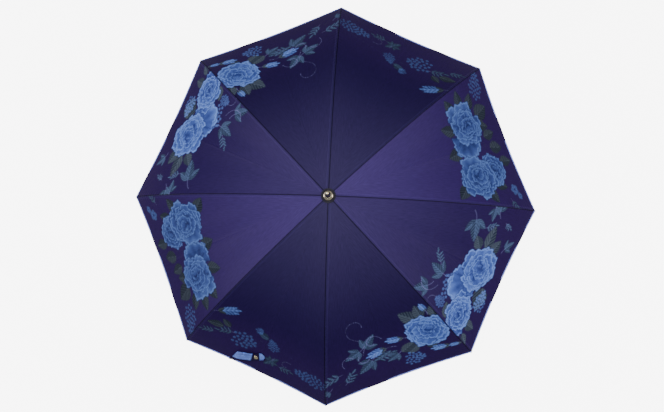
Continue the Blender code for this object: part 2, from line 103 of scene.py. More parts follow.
class UmbrellaCanopy(bpy.types.PropertyGroup):
    rib_length: length("Rib length", "Length of a rib, notch pivot to rod end", 0.585)
    slope_top: number("Slope at the notch", "Dip of a rib at the notch, in degrees", 6.0)
    slope_tip: number("Slope at the tip", "Dip of a rib at its tip, in degrees", 54.0)
    slope_power: number("Slope power", "How late along the rib the dip comes", 1.5)
    flex_at: length("Flex joint", "Distance along the rib of its flex joint", 0.300)
    end_gap: length("Hem gap", "Bare end of the rib beyond the hem", 0.003)
    lift: length("Lift", "Cloth's height above the rib's centre line", 0.0040)
    saddle: share("Saddle", "Sag between two ribs, as a share of the gore's width", 0.045)
    hem_rise: length("Hem rise", "How far the hem draws in between two ribs", 0.010)
    thickness: length("Cloth thickness", "Thickness of the coated cloth", 0.0003)
    seam_width: length("Seam width", "Width of the felled seam over a rib", 0.0062)
    overlap: length("Panel overlap", "Upper cloth that runs on under the lower", 0.004)
    columns: mesh_count("Columns", "Mesh columns on each side of a rib", 104)
    lower_rows: mesh_count("Lower rows", "Mesh rows from the flex joint to the hem", 150)
    upper_rows: mesh_count("Upper rows", "Mesh rows from the notch to the flex joint", 80)
    shut_width: share("Shut width", "Share of a panel's width left when the umbrella is shut", 0.15)


class UmbrellaDyes(bpy.types.PropertyGroup):
    # Navy is the cloth's own ground. Purple is painted sheen: the satin's lit colour, laid into the
    # ground of some gores
    navy: dye_colour("Navy", "Cloth seen along its warp", "#140b2f")
    purple: dye_colour("Purple", "Cloth seen along its weft", "#221541")
    border: dye_colour("Border ground", "Ground of the printed border", "#1c0e37")
    petal_light: dye_colour("Petal lip", "Lips of the petals", "#5875b2")
    petal: dye_colour("Petal", "Body of the petals", "#384c86")
    petal_deep: dye_colour("Petal foot", "Shaded feet of the petals", "#1d2759")
    leaf: dye_colour("Leaf", "Leaves", "#3b444e")
    leaf_dark: dye_colour("Leaf shade", "Shaded side of the leaves", "#141b2a")
    vine: dye_colour("Vine", "Vine leaves and sprays", "#3c4c68")
    tendril: dye_colour("Tendril", "Tendrils", "#5f5f8c")
    hem: dye_colour("Hem", "Bound hem", "#7480c8")
    backing: dye_colour("Backing", "Coated underside of the cloth", "#0b0a16")
    stitches: dye_colour("Stitches", "Thread of the seams and hems", "#242044")
    tie: dye_colour("Tie thread", "Bonded thread that ties the seams to the ribs", "#191730")
    rosette: dye_colour("Rosette", "Twill under the cap", "#14121f")


class UmbrellaStrap(bpy.types.PropertyGroup):
    start_up: length("Start height", "Height of the strap's seam up the rib from its end", 0.024)
    start_across: share("Start across", "Strap's seam, as a share of half the gore", 0.64)
    end_up: length("End height", "Height of the strap's free end", 0.075)
    end_across: share("End across", "Strap's free end, as a share of half the gore", 1.04, 1.2)
    width: length("Width", "Width of the strap", 0.020)
    flare: share("Flare", "How much wider the side away from the hem is at the seam", 0.80)
    slant: length("Slant", "How far the corners of the sewn end stand off square", 0.018)
    lift: length("Lift", "Strap's height above the cloth where it is sewn", 0.0016)
    arch: length("Arch", "How high the strap stands off the cloth on its way", 0.0035)
    stud_radius: length("Stud radius", "Radius of the press stud's cap", 0.00625)
    stud_at: share("Stud place", "Press stud, as a share of the strap's length", 0.73)
    blue: dye_colour("Strap", "Ground of the strap's print", "#3f62bd")
    pale: dye_colour("Strap tint", "Tint over the strap's print", "#86a2f2")
    back: dye_colour("Strap back", "Taffeta on the back of the strap", "#0c0b14")


class UmbrellaHandle(bpy.types.PropertyGroup):
    radius: length("Radius", "Radius of the grip", 0.0105)
    crook_radius: length("Crook radius", "Radius of the crook's turn", 0.036)
    crook_rise: length("Crook rise", "Straight rise after the turn", 0.030)
    wood: dye_colour("Wood", "Light grain of the stained wood", "#6b3320")
    wood_dark: dye_colour("Wood shade", "Dark grain of the stained wood", "#2a110b")


class UmbrellaMetal(bpy.types.PropertyGroup):
    nickel: dye_colour("Nickel", "Bright nickel plate", "#8a8578")
    brass: dye_colour("Brass", "Worn brass under the plate", "#dcc88c")
    lacquer: dye_colour("Lacquer", "Black lacquer on the ribs", "#121217")
    rod: dye_colour("Rod", "Glass fibre rods", "#1b1b20")
    nylon: dye_colour("Nylon", "Moulded nylon fittings", "#141318")
    rosette_radius: length("Rosette radius", "Radius of the cloth rosette under the cap", 0.0180)


class UmbrellaStage(bpy.types.PropertyGroup):
    distance: length("Camera distance", "Camera to the middle of the rim", 2.882)
    lens: number("Lens", "Focal length in millimetres", 59.6)
    lean_x: number("Lean X", "Camera's lean off the vertical towards +X", 0.057)
    lean_y: number("Lean Y", "Camera's lean off the vertical towards +Y", -0.077)
    roll: number("Roll", "Camera's roll", -0.040, subtype="ANGLE")
    aside: length("Aside", "How far the camera is moved to its left", 0.0042)
    down: length("Down", "How far the camera is moved down its own view", 0.0058)
    floor_drop: length("Floor drop", "Floor below the handle", 0.02)
    floor_glow: number("Floor glow", "Strength of the light table's own light", 6.0)
    key_power: number("Key", "Power of each side light in watts", 95.0)
    fill_power: number("Fill", "Power of the overhead light in watts", 60.0)
    room: number("Room", "Strength of the room's even light", 0.7)


PROPERTY_GROUPS = {
    "umbrella_canopy": UmbrellaCanopy,
    "umbrella_dyes": UmbrellaDyes,
    "umbrella_strap": UmbrellaStrap,
    "umbrella_handle": UmbrellaHandle,
    "umbrella_metal": UmbrellaMetal,
    "umbrella_stage": UmbrellaStage,
}


# Colours and nodes


def linear(hex_value):
    """Linear red, green and blue of an sRGB hex value."""
    values = [int(hex_value[i : i + 2], 16) / 255 for i in (1, 3, 5)]
    return tuple(v / 12.92 if v <= 0.04045 else ((v + 0.055) / 1.055) ** 2.4 for v in values)


def rgba(hex_value):
    return (*linear(hex_value), 1.0)


def add_node(tree, kind, inputs=None, **settings):
    """Adds a node, sets its settings, and fills its inputs with values or with other sockets."""
    node = tree.nodes.new(kind)
    for name, value in settings.items():
        setattr(node, name, value)
    for key, value in (inputs or {}).items():
        if isinstance(value, bpy.types.NodeSocket):
            tree.links.new(value, node.inputs[key])
        else:
            node.inputs[key].default_value = value
    return node


def new_material(name, **shader_values):
    """A material with its shader's plain values set. Returns it, its tree and its shader."""
    material = bpy.data.materials.new(name)
    material.use_nodes = True
    tree = material.node_tree
    shader = tree.nodes["Principled BSDF"]
    for key, value in shader_values.items():
        shader.inputs[key.replace("_", " ")].default_value = value
    return material, tree, shader


def mixed(tree, factor, first, second, blend="MIX"):
    """Colour between two, as a socket."""
    node = add_node(
        tree, "ShaderNodeMix", {0: factor, 6: first, 7: second}, data_type="RGBA", blend_type=blend
    )
    return node.outputs[2]


def maths(tree, operation, first, second=0.0, third=0.0):
    node = add_node(tree, "ShaderNodeMath", {0: first, 1: second, 2: third}, operation=operation)
    return node.outputs[0]


def bumped(tree, shader, height, distance, strength=1.0):
    """Gives the shader a bump of a real height, in metres."""
    bump = add_node(
        tree, "ShaderNodeBump", {"Height": height, "Distance": distance, "Strength": strength}
    )
    tree.links.new(bump.outputs["Normal"], shader.inputs["Normal"])


def ramped(tree, value, stops):
    """Colours at places from 0 to 1 along a value."""
    node = add_node(tree, "ShaderNodeValToRGB", {"Fac": value})
    elements = node.color_ramp.elements
    while len(elements) < len(stops):
        elements.new(0.5)
    for element, (place, colour) in zip(elements, stops):
        element.position = place
        element.color = colour
    return node.outputs["Color"]


def noise(tree, vector, per_metre, detail=2.0, roughness=0.5):
    node = add_node(
        tree,
        "ShaderNodeTexNoise",
        {"Vector": vector, "Scale": per_metre, "Detail": detail, "Roughness": roughness},
    )
    return node.outputs["Fac"]


def stretched(tree, vector, scale):
    return add_node(tree, "ShaderNodeMapping", {"Vector": vector, "Scale": scale}).outputs["Vector"]


def object_place(tree):
    return add_node(tree, "ShaderNodeTexCoord").outputs["Object"]


# Materials

# The satin's threads are 0.1 mm apart, too fine to show, so they are drawn this far apart
DRAWN_THREAD = 0.0009


def print_and_map(tree):
    """The node of the printed dyes, and the cloth's own map in metres."""
    dye = add_node(tree, "ShaderNodeAttribute", attribute_name="print")
    return dye, add_node(tree, "ShaderNodeUVMap", uv_map="cloth").outputs["UV"]


def weave(tree, cloth_map):
    """Height of a satin weave: long floats along the gore, tied down on a slant."""
    axes = add_node(tree, "ShaderNodeSeparateXYZ", {"Vector": cloth_map})
    turn = 2 * math.pi / DRAWN_THREAD
    warp = maths(tree, "SINE", maths(tree, "MULTIPLY", axes.outputs["X"], turn))
    slant = maths(tree, "ADD", axes.outputs["Y"], maths(tree, "MULTIPLY", axes.outputs["X"], 0.6))
    ties = maths(tree, "SINE", maths(tree, "MULTIPLY", slant, turn / 2.5))
    return maths(tree, "MULTIPLY_ADD", ties, 0.4, warp)


def stitch_row(tree, across, along, row, pitch=0.0028, half=0.00045):
    """1 on the stitches of one straight row, 0 between them and off it."""
    off = maths(tree, "ABSOLUTE", maths(tree, "SUBTRACT", across, row))
    on_row = maths(tree, "LESS_THAN", off, half)
    step = maths(tree, "FRACT", maths(tree, "DIVIDE", along, pitch))
    return maths(tree, "MULTIPLY", on_row, maths(tree, "LESS_THAN", step, 0.68))


def printed_satin(name, dyes, seam_rows, hem_row=None):
    """Satin-woven polyester, roller printed and calendered: a soft sheen along the floats, duller
    where dye lies on it. Rows of stitches run at distances across the cloth and along it."""
    material, tree, shader = new_material(
        name, Roughness=0.46, IOR=1.5, Specular_IOR_Level=0.03,
        Sheen_Weight=0.01, Sheen_Roughness=0.35,
    )
    shader.inputs["Sheen Tint"].default_value = rgba("#8f86d8")
    dye, cloth_map = print_and_map(tree)
    axes = add_node(tree, "ShaderNodeSeparateXYZ", {"Vector": cloth_map})
    across, along = axes.outputs["X"], axes.outputs["Y"]
    slubs = noise(tree, stretched(tree, cloth_map, (1.0, 0.12, 1.0)), 420.0, 3.0, 0.6)
    shade = ramped(tree, slubs, [(0.25, (0.80, 0.80, 0.84, 1)), (0.75, (1.16, 1.16, 1.2, 1))])
    colour = mixed(tree, 1.0, dye.outputs["Color"], shade, "MULTIPLY")
    stitches = 0.0
    for row in seam_rows:
        stitches = maths(tree, "MAXIMUM", stitches, stitch_row(tree, across, along, row))
    if hem_row is not None:
        stitches = maths(tree, "MAXIMUM", stitches, stitch_row(tree, along, across, hem_row))
    colour = mixed(tree, stitches, colour, rgba(dyes.stitches))
    tree.links.new(colour, shader.inputs["Base Color"])
    rough = maths(tree, "MULTIPLY_ADD", dye.outputs["Alpha"], 0.14, 0.40)
    rough = maths(tree, "MULTIPLY_ADD", maths(tree, "SUBTRACT", slubs, 0.5), 0.18, rough)
    tree.links.new(rough, shader.inputs["Roughness"])
    relief = maths(tree, "MULTIPLY_ADD", stitches, 2.5, weave(tree, cloth_map))
    bumped(tree, shader, relief, 0.00004, 0.6)
    return material


def coated_backing(dyes):
    """Back of the printed cloth under its water-repellent coat: dull, nearly black, with the
    print showing through faintly."""
    material, tree, shader = new_material(
        "polyester_backing", Roughness=0.62, IOR=1.5, Specular_IOR_Level=0.15
    )
    dye, cloth_map = print_and_map(tree)
    colour = mixed(tree, 0.22, rgba(dyes.backing), dye.outputs["Color"])
    specks = noise(tree, cloth_map, 900.0, 2.0)
    colour = mixed(tree, maths(tree, "MULTIPLY", specks, 0.12), colour, rgba("#3a3850"))
    tree.links.new(colour, shader.inputs["Base Color"])
    bumped(tree, shader, weave(tree, cloth_map), 0.00003, 0.5)
    return material


def plain_weave(name, hex_value, roughness=0.6, pitch=0.0007):
    """Plain-woven tape or cloth dyed in the piece: matt, with fine ribs across it, drawn at
    0.7 mm because the real threads are too fine to show."""
    material, tree, shader = new_material(
        name, Roughness=roughness, IOR=1.5, Specular_IOR_Level=0.2,
        Sheen_Weight=0.04, Sheen_Roughness=0.5,
    )
    place = object_place(tree)
    axes = add_node(tree, "ShaderNodeSeparateXYZ", {"Vector": place})
    turn = 2 * math.pi / pitch
    rows = maths(tree, "SINE", maths(tree, "MULTIPLY", axes.outputs["X"], turn))
    columns = maths(tree, "SINE", maths(tree, "MULTIPLY", axes.outputs["Y"], turn))
    height = maths(tree, "MULTIPLY", rows, columns)
    tone = noise(tree, place, 160.0, 3.0)
    dark = tuple(0.72 * v for v in linear(hex_value)) + (1.0,)
    light = tuple(min(1.0, 1.18 * v) for v in linear(hex_value)) + (1.0,)
    tree.links.new(mixed(tree, tone, dark, light), shader.inputs["Base Color"])
    bumped(tree, shader, height, 0.00005, 0.5)
    return material


def nickel_plate(name, metal, wear=0.25, lines=(1.0, 1.0, 0.02)):
    """Bright nickel plate over brass, buffed round: clear reflections with fine rubbing marks,
    and a warm tone where the plate has worn."""
    material, tree, shader = new_material(name, Metallic=1.0, Roughness=0.2)
    place = object_place(tree)
    patches = noise(tree, place, 240.0, 3.0)
    worn = ramped(tree, patches, [(0.45, (0, 0, 0, 1)), (0.75, (wear, wear, wear, 1))])
    colour = mixed(tree, worn, rgba(metal.nickel), rgba(metal.brass))
    tree.links.new(colour, shader.inputs["Base Color"])
    marks = noise(tree, stretched(tree, place, lines), 3000.0, 2.0)
    tree.links.new(maths(tree, "MULTIPLY_ADD", marks, 0.16, 0.12), shader.inputs["Roughness"])
    bumped(tree, shader, marks, 0.000006, 0.5)
    return material


def black_lacquer(metal):
    """Pressed steel under stoved black lacquer: smooth and glossy, with rubbed grey edges. The
    ribs and their sleeves share it, so it is made once."""
    made = bpy.data.materials.get("black_lacquered_steel")
    if made:
        return made
    material, tree, shader = new_material("black_lacquered_steel", Roughness=0.32, IOR=1.5)
    place = object_place(tree)
    rub = noise(tree, place, 500.0, 4.0, 0.65)
    colour = ramped(tree, rub, [(0.62, rgba(metal.lacquer)), (0.80, rgba("#3a3a42"))])
    tree.links.new(colour, shader.inputs["Base Color"])
    tree.links.new(maths(tree, "MULTIPLY_ADD", rub, 0.3, 0.18), shader.inputs["Roughness"])
    bumped(tree, shader, rub, 0.00003, 0.4)
    return material


def glass_fibre(metal):
    """Pultruded glass fibre and resin: straight fibres along the rod under a clear skin."""
    material, tree, shader = new_material("pultruded_glass_fibre", Roughness=0.35, IOR=1.52)
    place = object_place(tree)
    fibres = noise(tree, stretched(tree, place, (1.0, 1.0, 0.2)), 1800.0, 3.0)
    colour = ramped(tree, fibres, [(0.35, rgba(metal.rod)), (0.75, rgba("#33333c"))])
    tree.links.new(colour, shader.inputs["Base Color"])
    bumped(tree, shader, fibres, 0.00002, 0.5)
    return material


def moulded_nylon(metal):
    """Injection moulded black nylon: satin from a spark-eroded mould, slightly uneven."""
    material, tree, shader = new_material("moulded_nylon", Roughness=0.42, IOR=1.53)
    place = object_place(tree)
    grain = noise(tree, place, 2600.0, 2.0)
    tone = noise(tree, place, 90.0, 2.0)
    colour = mixed(tree, tone, rgba(metal.nylon), rgba("#26252c"))
    tree.links.new(colour, shader.inputs["Base Color"])
    tree.links.new(maths(tree, "MULTIPLY_ADD", tone, 0.2, 0.32), shader.inputs["Roughness"])
    bumped(tree, shader, grain, 0.00002, 0.5)
    return material


def stained_wood(handle):
    """Steam-bent beech, stained dark and varnished: short flecks along the bend under a clear
    gloss coat. The flecks are about 2 mm long and the grain lines 1 mm apart."""
    material, tree, shader = new_material(
        "stained_beech", Roughness=0.4, IOR=1.5, Coat_Weight=0.7, Coat_Roughness=0.12
    )
    grain_map = add_node(tree, "ShaderNodeUVMap", uv_map="grain").outputs["UV"]
    lines = noise(tree, stretched(tree, grain_map, (1.0, 0.06, 1.0)), 900.0, 5.0, 0.62)
    flecks = noise(tree, stretched(tree, grain_map, (1.0, 0.25, 1.0)), 2400.0, 2.0)
    base = ramped(tree, lines, [(0.30, rgba(handle.wood_dark)), (0.68, rgba(handle.wood))])
    dark = ramped(tree, flecks, [(0.58, (0, 0, 0, 1)), (0.70, (0.6, 0.6, 0.6, 1))])
    tree.links.new(mixed(tree, dark, base, rgba(handle.wood_dark)), shader.inputs["Base Color"])
    bumped(tree, shader, lines, 0.00004, 0.35)
    return material


# The canopy's surface


class CanopySurface:
    """The open canopy, in the frame of one rib's notch pivot: X out, Y along the pivot, Z up."""

    def __init__(self, sizes):
        self.sizes = sizes
        self.hem = sizes.rib_length - sizes.end_gap
        self.lengths = np.linspace(0, sizes.rib_length, 1201)
        dip = self.slope(self.lengths)
        middle, step = (dip[1:] + dip[:-1]) / 2, np.diff(self.lengths)
        out = np.concatenate([[0], np.cumsum(np.cos(middle) * step)])
        down = np.concatenate([[0], np.cumsum(np.sin(middle) * step)])
        self.rib_x, self.rib_z = out, -down
        self.cloth_x = out + sizes.lift * np.sin(dip)
        self.cloth_z = -down + sizes.lift * np.cos(dip)

    def slope(self, along):
        sizes = self.sizes
        part = np.maximum(along, 0) / sizes.rib_length
        return np.radians(
            sizes.slope_top + (sizes.slope_tip - sizes.slope_top) * part**sizes.slope_power
        )

    def rib(self, along, lift=0.0):
        """(x, z) on the open rib, lifted square off its centre line."""
        dip = self.slope(along)
        x = np.interp(along, self.lengths, self.rib_x)
        z = np.interp(along, self.lengths, self.rib_z)
        return x + lift * np.sin(dip), z + lift * np.cos(dip)

    def half_gore(self, along):
        """Half the distance between two ribs, a length along them."""
        x = np.interp(along, self.lengths, self.cloth_x)
        return (PIVOT_RADIUS + x) * math.sin(SECTOR / 2)

    def points(self, along, across):
        """Cloth at lengths along the rib and from -1 to 1 between the two gores' middles."""
        sizes = self.sizes
        between = 2 * np.abs(across) - across**2
        along = along - sizes.hem_rise * between * (along / sizes.rib_length) ** 3
        x = np.interp(along, self.lengths, self.cloth_x)
        z = np.interp(along, self.lengths, self.cloth_z)
        radius = PIVOT_RADIUS + x
        chord = 2 * radius * math.sin(SECTOR / 2)
        sag = sizes.saddle * chord * between * (1 - (along / sizes.rib_length) ** 4)
        dip = self.slope(along)
        outward = radius * (1 - np.abs(across) * (1 - math.cos(SECTOR)) / 2)
        sideways = across * radius * math.sin(SECTOR) / 2
        inward = 1 - sag * np.sin(dip) / np.maximum(np.hypot(outward, sideways), 1e-6)
        return np.stack(
            [outward * inward - PIVOT_RADIUS, sideways * inward, z - sag * np.cos(dip)], axis=-1
        )

    def normals(self, along, across):
        step = 1e-3
        out = self.points(along + step, across) - self.points(along - step, across)
        side = self.points(along, across + step) - self.points(along, across - step)
        square = np.cross(out, side)
        return square / np.linalg.norm(square, axis=-1, keepdims=True)


def to_world(points, rib):
    """Points in rib 1..8's own frame, put in the object's frame."""
    turn = (rib - 1) * SECTOR
    x, y = points[..., 0] + PIVOT_RADIUS, points[..., 1]
    return np.stack(
        [
            x * math.cos(turn) - y * math.sin(turn),
            x * math.sin(turn) + y * math.cos(turn),
            points[..., 2] + NOTCH_Z,
        ],
        axis=-1,
    )


def soft_step(value, low, high):
    part = np.clip((value - low) / (high - low), 0, 1)
    return part * part * (3 - 2 * part)


# The printed border


def off(centre, reach, degrees):
    """The point at a distance and heading from a centre."""
    angle = math.radians(degrees)
    return centre[0] + reach * math.cos(angle), centre[1] + reach * math.sin(angle)


def swung(centre, x, y, degrees):
    """The point at x and y from a centre, in axes turned by some degrees."""
    cos, sin = math.cos(math.radians(degrees)), math.sin(math.radians(degrees))
    return centre[0] + x * cos - y * sin, centre[1] + x * sin + y * cos


class Dyeing:
    """Dyes laid on one gore, at points u across it from its middle and v up from its hem."""

    SOFT_EDGE = 0.0011
    # Petals in a ring, its distance out and its petals' size, as shares of the flower's size
    PEONY_RINGS = (
        (5, 0.56, 0.52), (6, 0.47, 0.42), (6, 0.33, 0.33), (5, 0.19, 0.25), (3, 0.06, 0.16),
    )

    def __init__(self, u, v, dyes):
        self.u, self.v = u, v
        self.colour = np.zeros((len(u), 3))
        self.cover = np.zeros(len(u))
        names = ("petal_light", "petal", "petal_deep", "leaf", "leaf_dark", "vine", "tendril")
        self.dyes = {name: np.array(linear(getattr(dyes, name))) for name in names}

    def around(self, centre, turn, reach):
        """Points within reach of a centre, and their places in axes turned by turn degrees."""
        du, dv = self.u - centre[0], self.v - centre[1]
        found = np.nonzero(du * du + dv * dv < reach * reach)[0]
        du, dv = du[found], dv[found]
        cos, sin = math.cos(math.radians(turn)), math.sin(math.radians(turn))
        return found, du * cos + dv * sin, dv * cos - du * sin

    def lay(self, found, inside, colour, strength=1.0):
        """Dye over what is there, where inside is above 0 metres, with a soft edge."""
        amount = np.clip(0.5 + inside / self.SOFT_EDGE, 0, 1) * strength
        self.colour[found] += amount[:, None] * (colour - self.colour[found])
        self.cover[found] = np.maximum(self.cover[found], amount)

    def tones(self, value):
        """Petal colours from foot (0) to lip (1)."""
        deep, body, lip = (self.dyes[n] for n in ("petal_deep", "petal", "petal_light"))
        low, high = np.clip(value * 2, 0, 1)[:, None], np.clip(value * 2 - 1, 0, 1)[:, None]
        return deep + (body - deep) * low + (lip - body) * high

    def petal(self, centre, turn, size, wide, seed):
        """One ruffled petal: shaded foot, veins, and a pale lip with a dark line under it."""
        chance = np.random.default_rng(seed)
        phases = chance.uniform(0, 2 * math.pi, 4)
        found, x, y = self.around(centre, turn, 1.6 * size * max(1, wide))
        if not len(found):
            return
        x, y = x / size, y / (size * wide)
        round_it = np.arctan2(y, x)
        ruffle = (
            1
            + 0.10 * np.sin(4 * round_it + phases[0])
            + 0.07 * np.sin(9 * round_it + phases[1])
            + 0.035 * np.sin(19 * round_it + phases[2])
        )
        reach = np.hypot(x, y) / ruffle
        inside = (1 - reach) * size
        self.lay(found, inside + 0.0013, self.dyes["petal_deep"] * 0.75, 0.75)
        from_foot = np.arctan2(y, x + 1.25)
        veins = 0.10 * np.sin(16 * from_foot + phases[3]) * np.clip(x + 1, 0, 1)
        tone = 0.34 + 0.34 * x + veins + 0.12 * np.sin(4 * reach + phases[1])
        lip = soft_step(reach, 0.82, 0.92) * soft_step(x, -0.6, 0.2)
        self.lay(found, inside, self.tones(np.clip(tone + 0.62 * lip, 0, 1)))

    def peony(self, centre, size, turn, stretch=1.0):
        """A full double peony: broad guard petals, then rings of smaller ruffled ones."""
        seed = int(abs(centre[0]) * 5000 + centre[1] * 9000 + size * 1e5)
        chance = np.random.default_rng(seed)
        heart = chance.uniform(-0.16, 0.16, 2) * size
        for count, out, width in self.PEONY_RINGS:
            first = chance.uniform(0, 360)
            shift = (1 - out / 0.58) * heart
            for i in chance.permutation(count):
                angle = first + 360 * i / count + chance.normal(0, 12)
                reach = size * out * chance.uniform(0.80, 1.12)
                x = reach * math.cos(math.radians(angle)) * stretch + shift[0]
                y = reach * math.sin(math.radians(angle)) + shift[1]
                self.petal(
                    swung(centre, x, y, turn),
                    angle + turn + chance.normal(0, 18),
                    size * width * chance.uniform(0.78, 1.15),
                    chance.uniform(1.0, 1.45),
                    int(chance.integers(1, 10**6)),
                )

    def guard(self, centre, size, turn, stretch=1.0):
        """A few broad petals that open away from a flower."""
        for i, side in enumerate((-38, 34, 0)):
            place = off(centre, 0.5 * size, turn + side)
            self.petal(place, turn + side, 0.62 * size, 1.25 * stretch, int(centre[1] * 1e4) + i)

    def leaf(self, foot, size, turn, wide=0.30, light="leaf", dark="leaf_dark"):
        """A toothed leaf from its foot to its point, with a pale midrib and side veins."""
        found, x, y = self.around(foot, turn, 1.1 * size)
        if not len(found):
            return
        t = np.clip(x / size, 0, 1)
        teeth = 1 + 0.13 * np.abs(np.sin(6.5 * math.pi * t))
        half = wide * size * np.sin(math.pi * t**0.75) ** 0.85 * teeth
        inside = np.where((x > 0) & (x < size), half - np.abs(y), -1.0)
        veins = 0.5 + 0.5 * np.sin(2 * math.pi * (x - np.abs(y) * 1.1) / (0.17 * size))
        shade = np.clip(0.12 + 0.55 * veins + 0.30 * (y > 0) - 0.10 * t, 0, 1)[:, None]
        low, high = self.dyes[dark], self.dyes[light]
        self.lay(found, inside, low + (high - low) * shade)
        midrib = np.where((x > 0) & (x < 0.92 * size), 0.0006 - np.abs(y), -1.0)
        self.lay(found, midrib, high * 1.5, 0.7)

    def vine_leaf(self, foot, size, turn, wide=0.23):
        """Three broad lobes from one foot, grown together, streaked pale towards their points."""
        for side, reach in ((-52, 0.74), (52, 0.74), (0, 1.0)):
            self.leaf(foot, size * reach, turn + side, wide, "vine", "leaf_dark")
        self.stem(foot, 0.5 * size, turn + 180, 40)

    def spray(self, foot, size, turn, wide=0.12):
        """A loose spray: a stem with small pointed leaves in pairs."""
        self.stem(foot, size, turn, 25)
        for step in (0.25, 0.5, 0.75, 1.0):
            place = off(foot, step * size, turn + 12 * step)
            for side in (-48, 48) if step < 1 else (0,):
                self.leaf(place, size * 0.42, turn + side, wide * 1.6, "vine", "leaf_dark")

    def bud(self, foot, size, turn, wide=0.13):
        """A long half-open bud: three overlapping petals out of a green calyx."""
        for side, reach in ((11, 0.86), (-11, 0.88), (0, 1.0)):
            self.leaf(foot, size * reach, turn + side, wide, "petal_light", "petal_deep")
        for side in (-28, 28):
            self.leaf(foot, size * 0.34, turn + side, 0.2)
        self.stem(foot, 0.45 * size, turn + 180, -30)

    def floret(self, centre, size, turn):
        """Five round petals about a dark eye."""
        for i in range(5):
            found, x, y = self.around(off(centre, 0.5 * size, turn + 72 * i), 0, 0.7 * size)
            self.lay(found, 0.40 * size - np.hypot(x, y), self.dyes["petal_light"], 0.62)
            self.lay(found, 0.16 * size - np.hypot(x, y), self.dyes["petal"])
        found, x, y = self.around(centre, 0, size)
        self.lay(found, 0.18 * size - np.hypot(x, y), self.dyes["petal_deep"])

    def cluster(self, centre, size, turn, stretch=1.0):
        """A head of tiny florets, thinner towards its end."""
        count = int(22 * stretch)
        for i in range(count):
            reach, angle = size * math.sqrt((i + 0.5) / count), math.radians(137.5 * i)
            x, y = stretch * reach * math.cos(angle), reach * math.sin(angle)
            y *= 1.15 - 0.45 * x / (stretch * size)
            self.floret(swung(centre, x, y, turn), 0.15 * size + 0.0012, 40 * i)

    def stem(self, foot, size, turn, curl, curl_end=None, dye="tendril", width=0.0015):
        """A thin line that starts towards turn and bends by curl degrees on its way, or winds up
        from curl to curl_end as a tendril does."""
        steps = 60
        curl_end = curl if curl_end is None else curl_end
        headings = np.radians(turn + np.cumsum(np.linspace(curl, curl_end, steps)) / steps)
        path = np.cumsum(np.stack([np.cos(headings), np.sin(headings)], -1) * size / steps, axis=0)
        path += np.array(foot)
        found, _, _ = self.around(foot, 0, 1.05 * size)
        if not len(found):
            return
        spots = np.stack([self.u[found], self.v[found]], -1)
        gaps = np.min(np.linalg.norm(spots[:, None] - path[None], axis=-1), axis=1)
        self.lay(found, width / 2 - gaps, self.dyes[dye], 0.85)


# Each motif is its kind, its place as a share across the gore and metres up from the hem, its
# size in metres, its turn in degrees from the line across, and how much longer or wider it is.
# The four gores come one after the other, anticlockwise from above, and then once more.

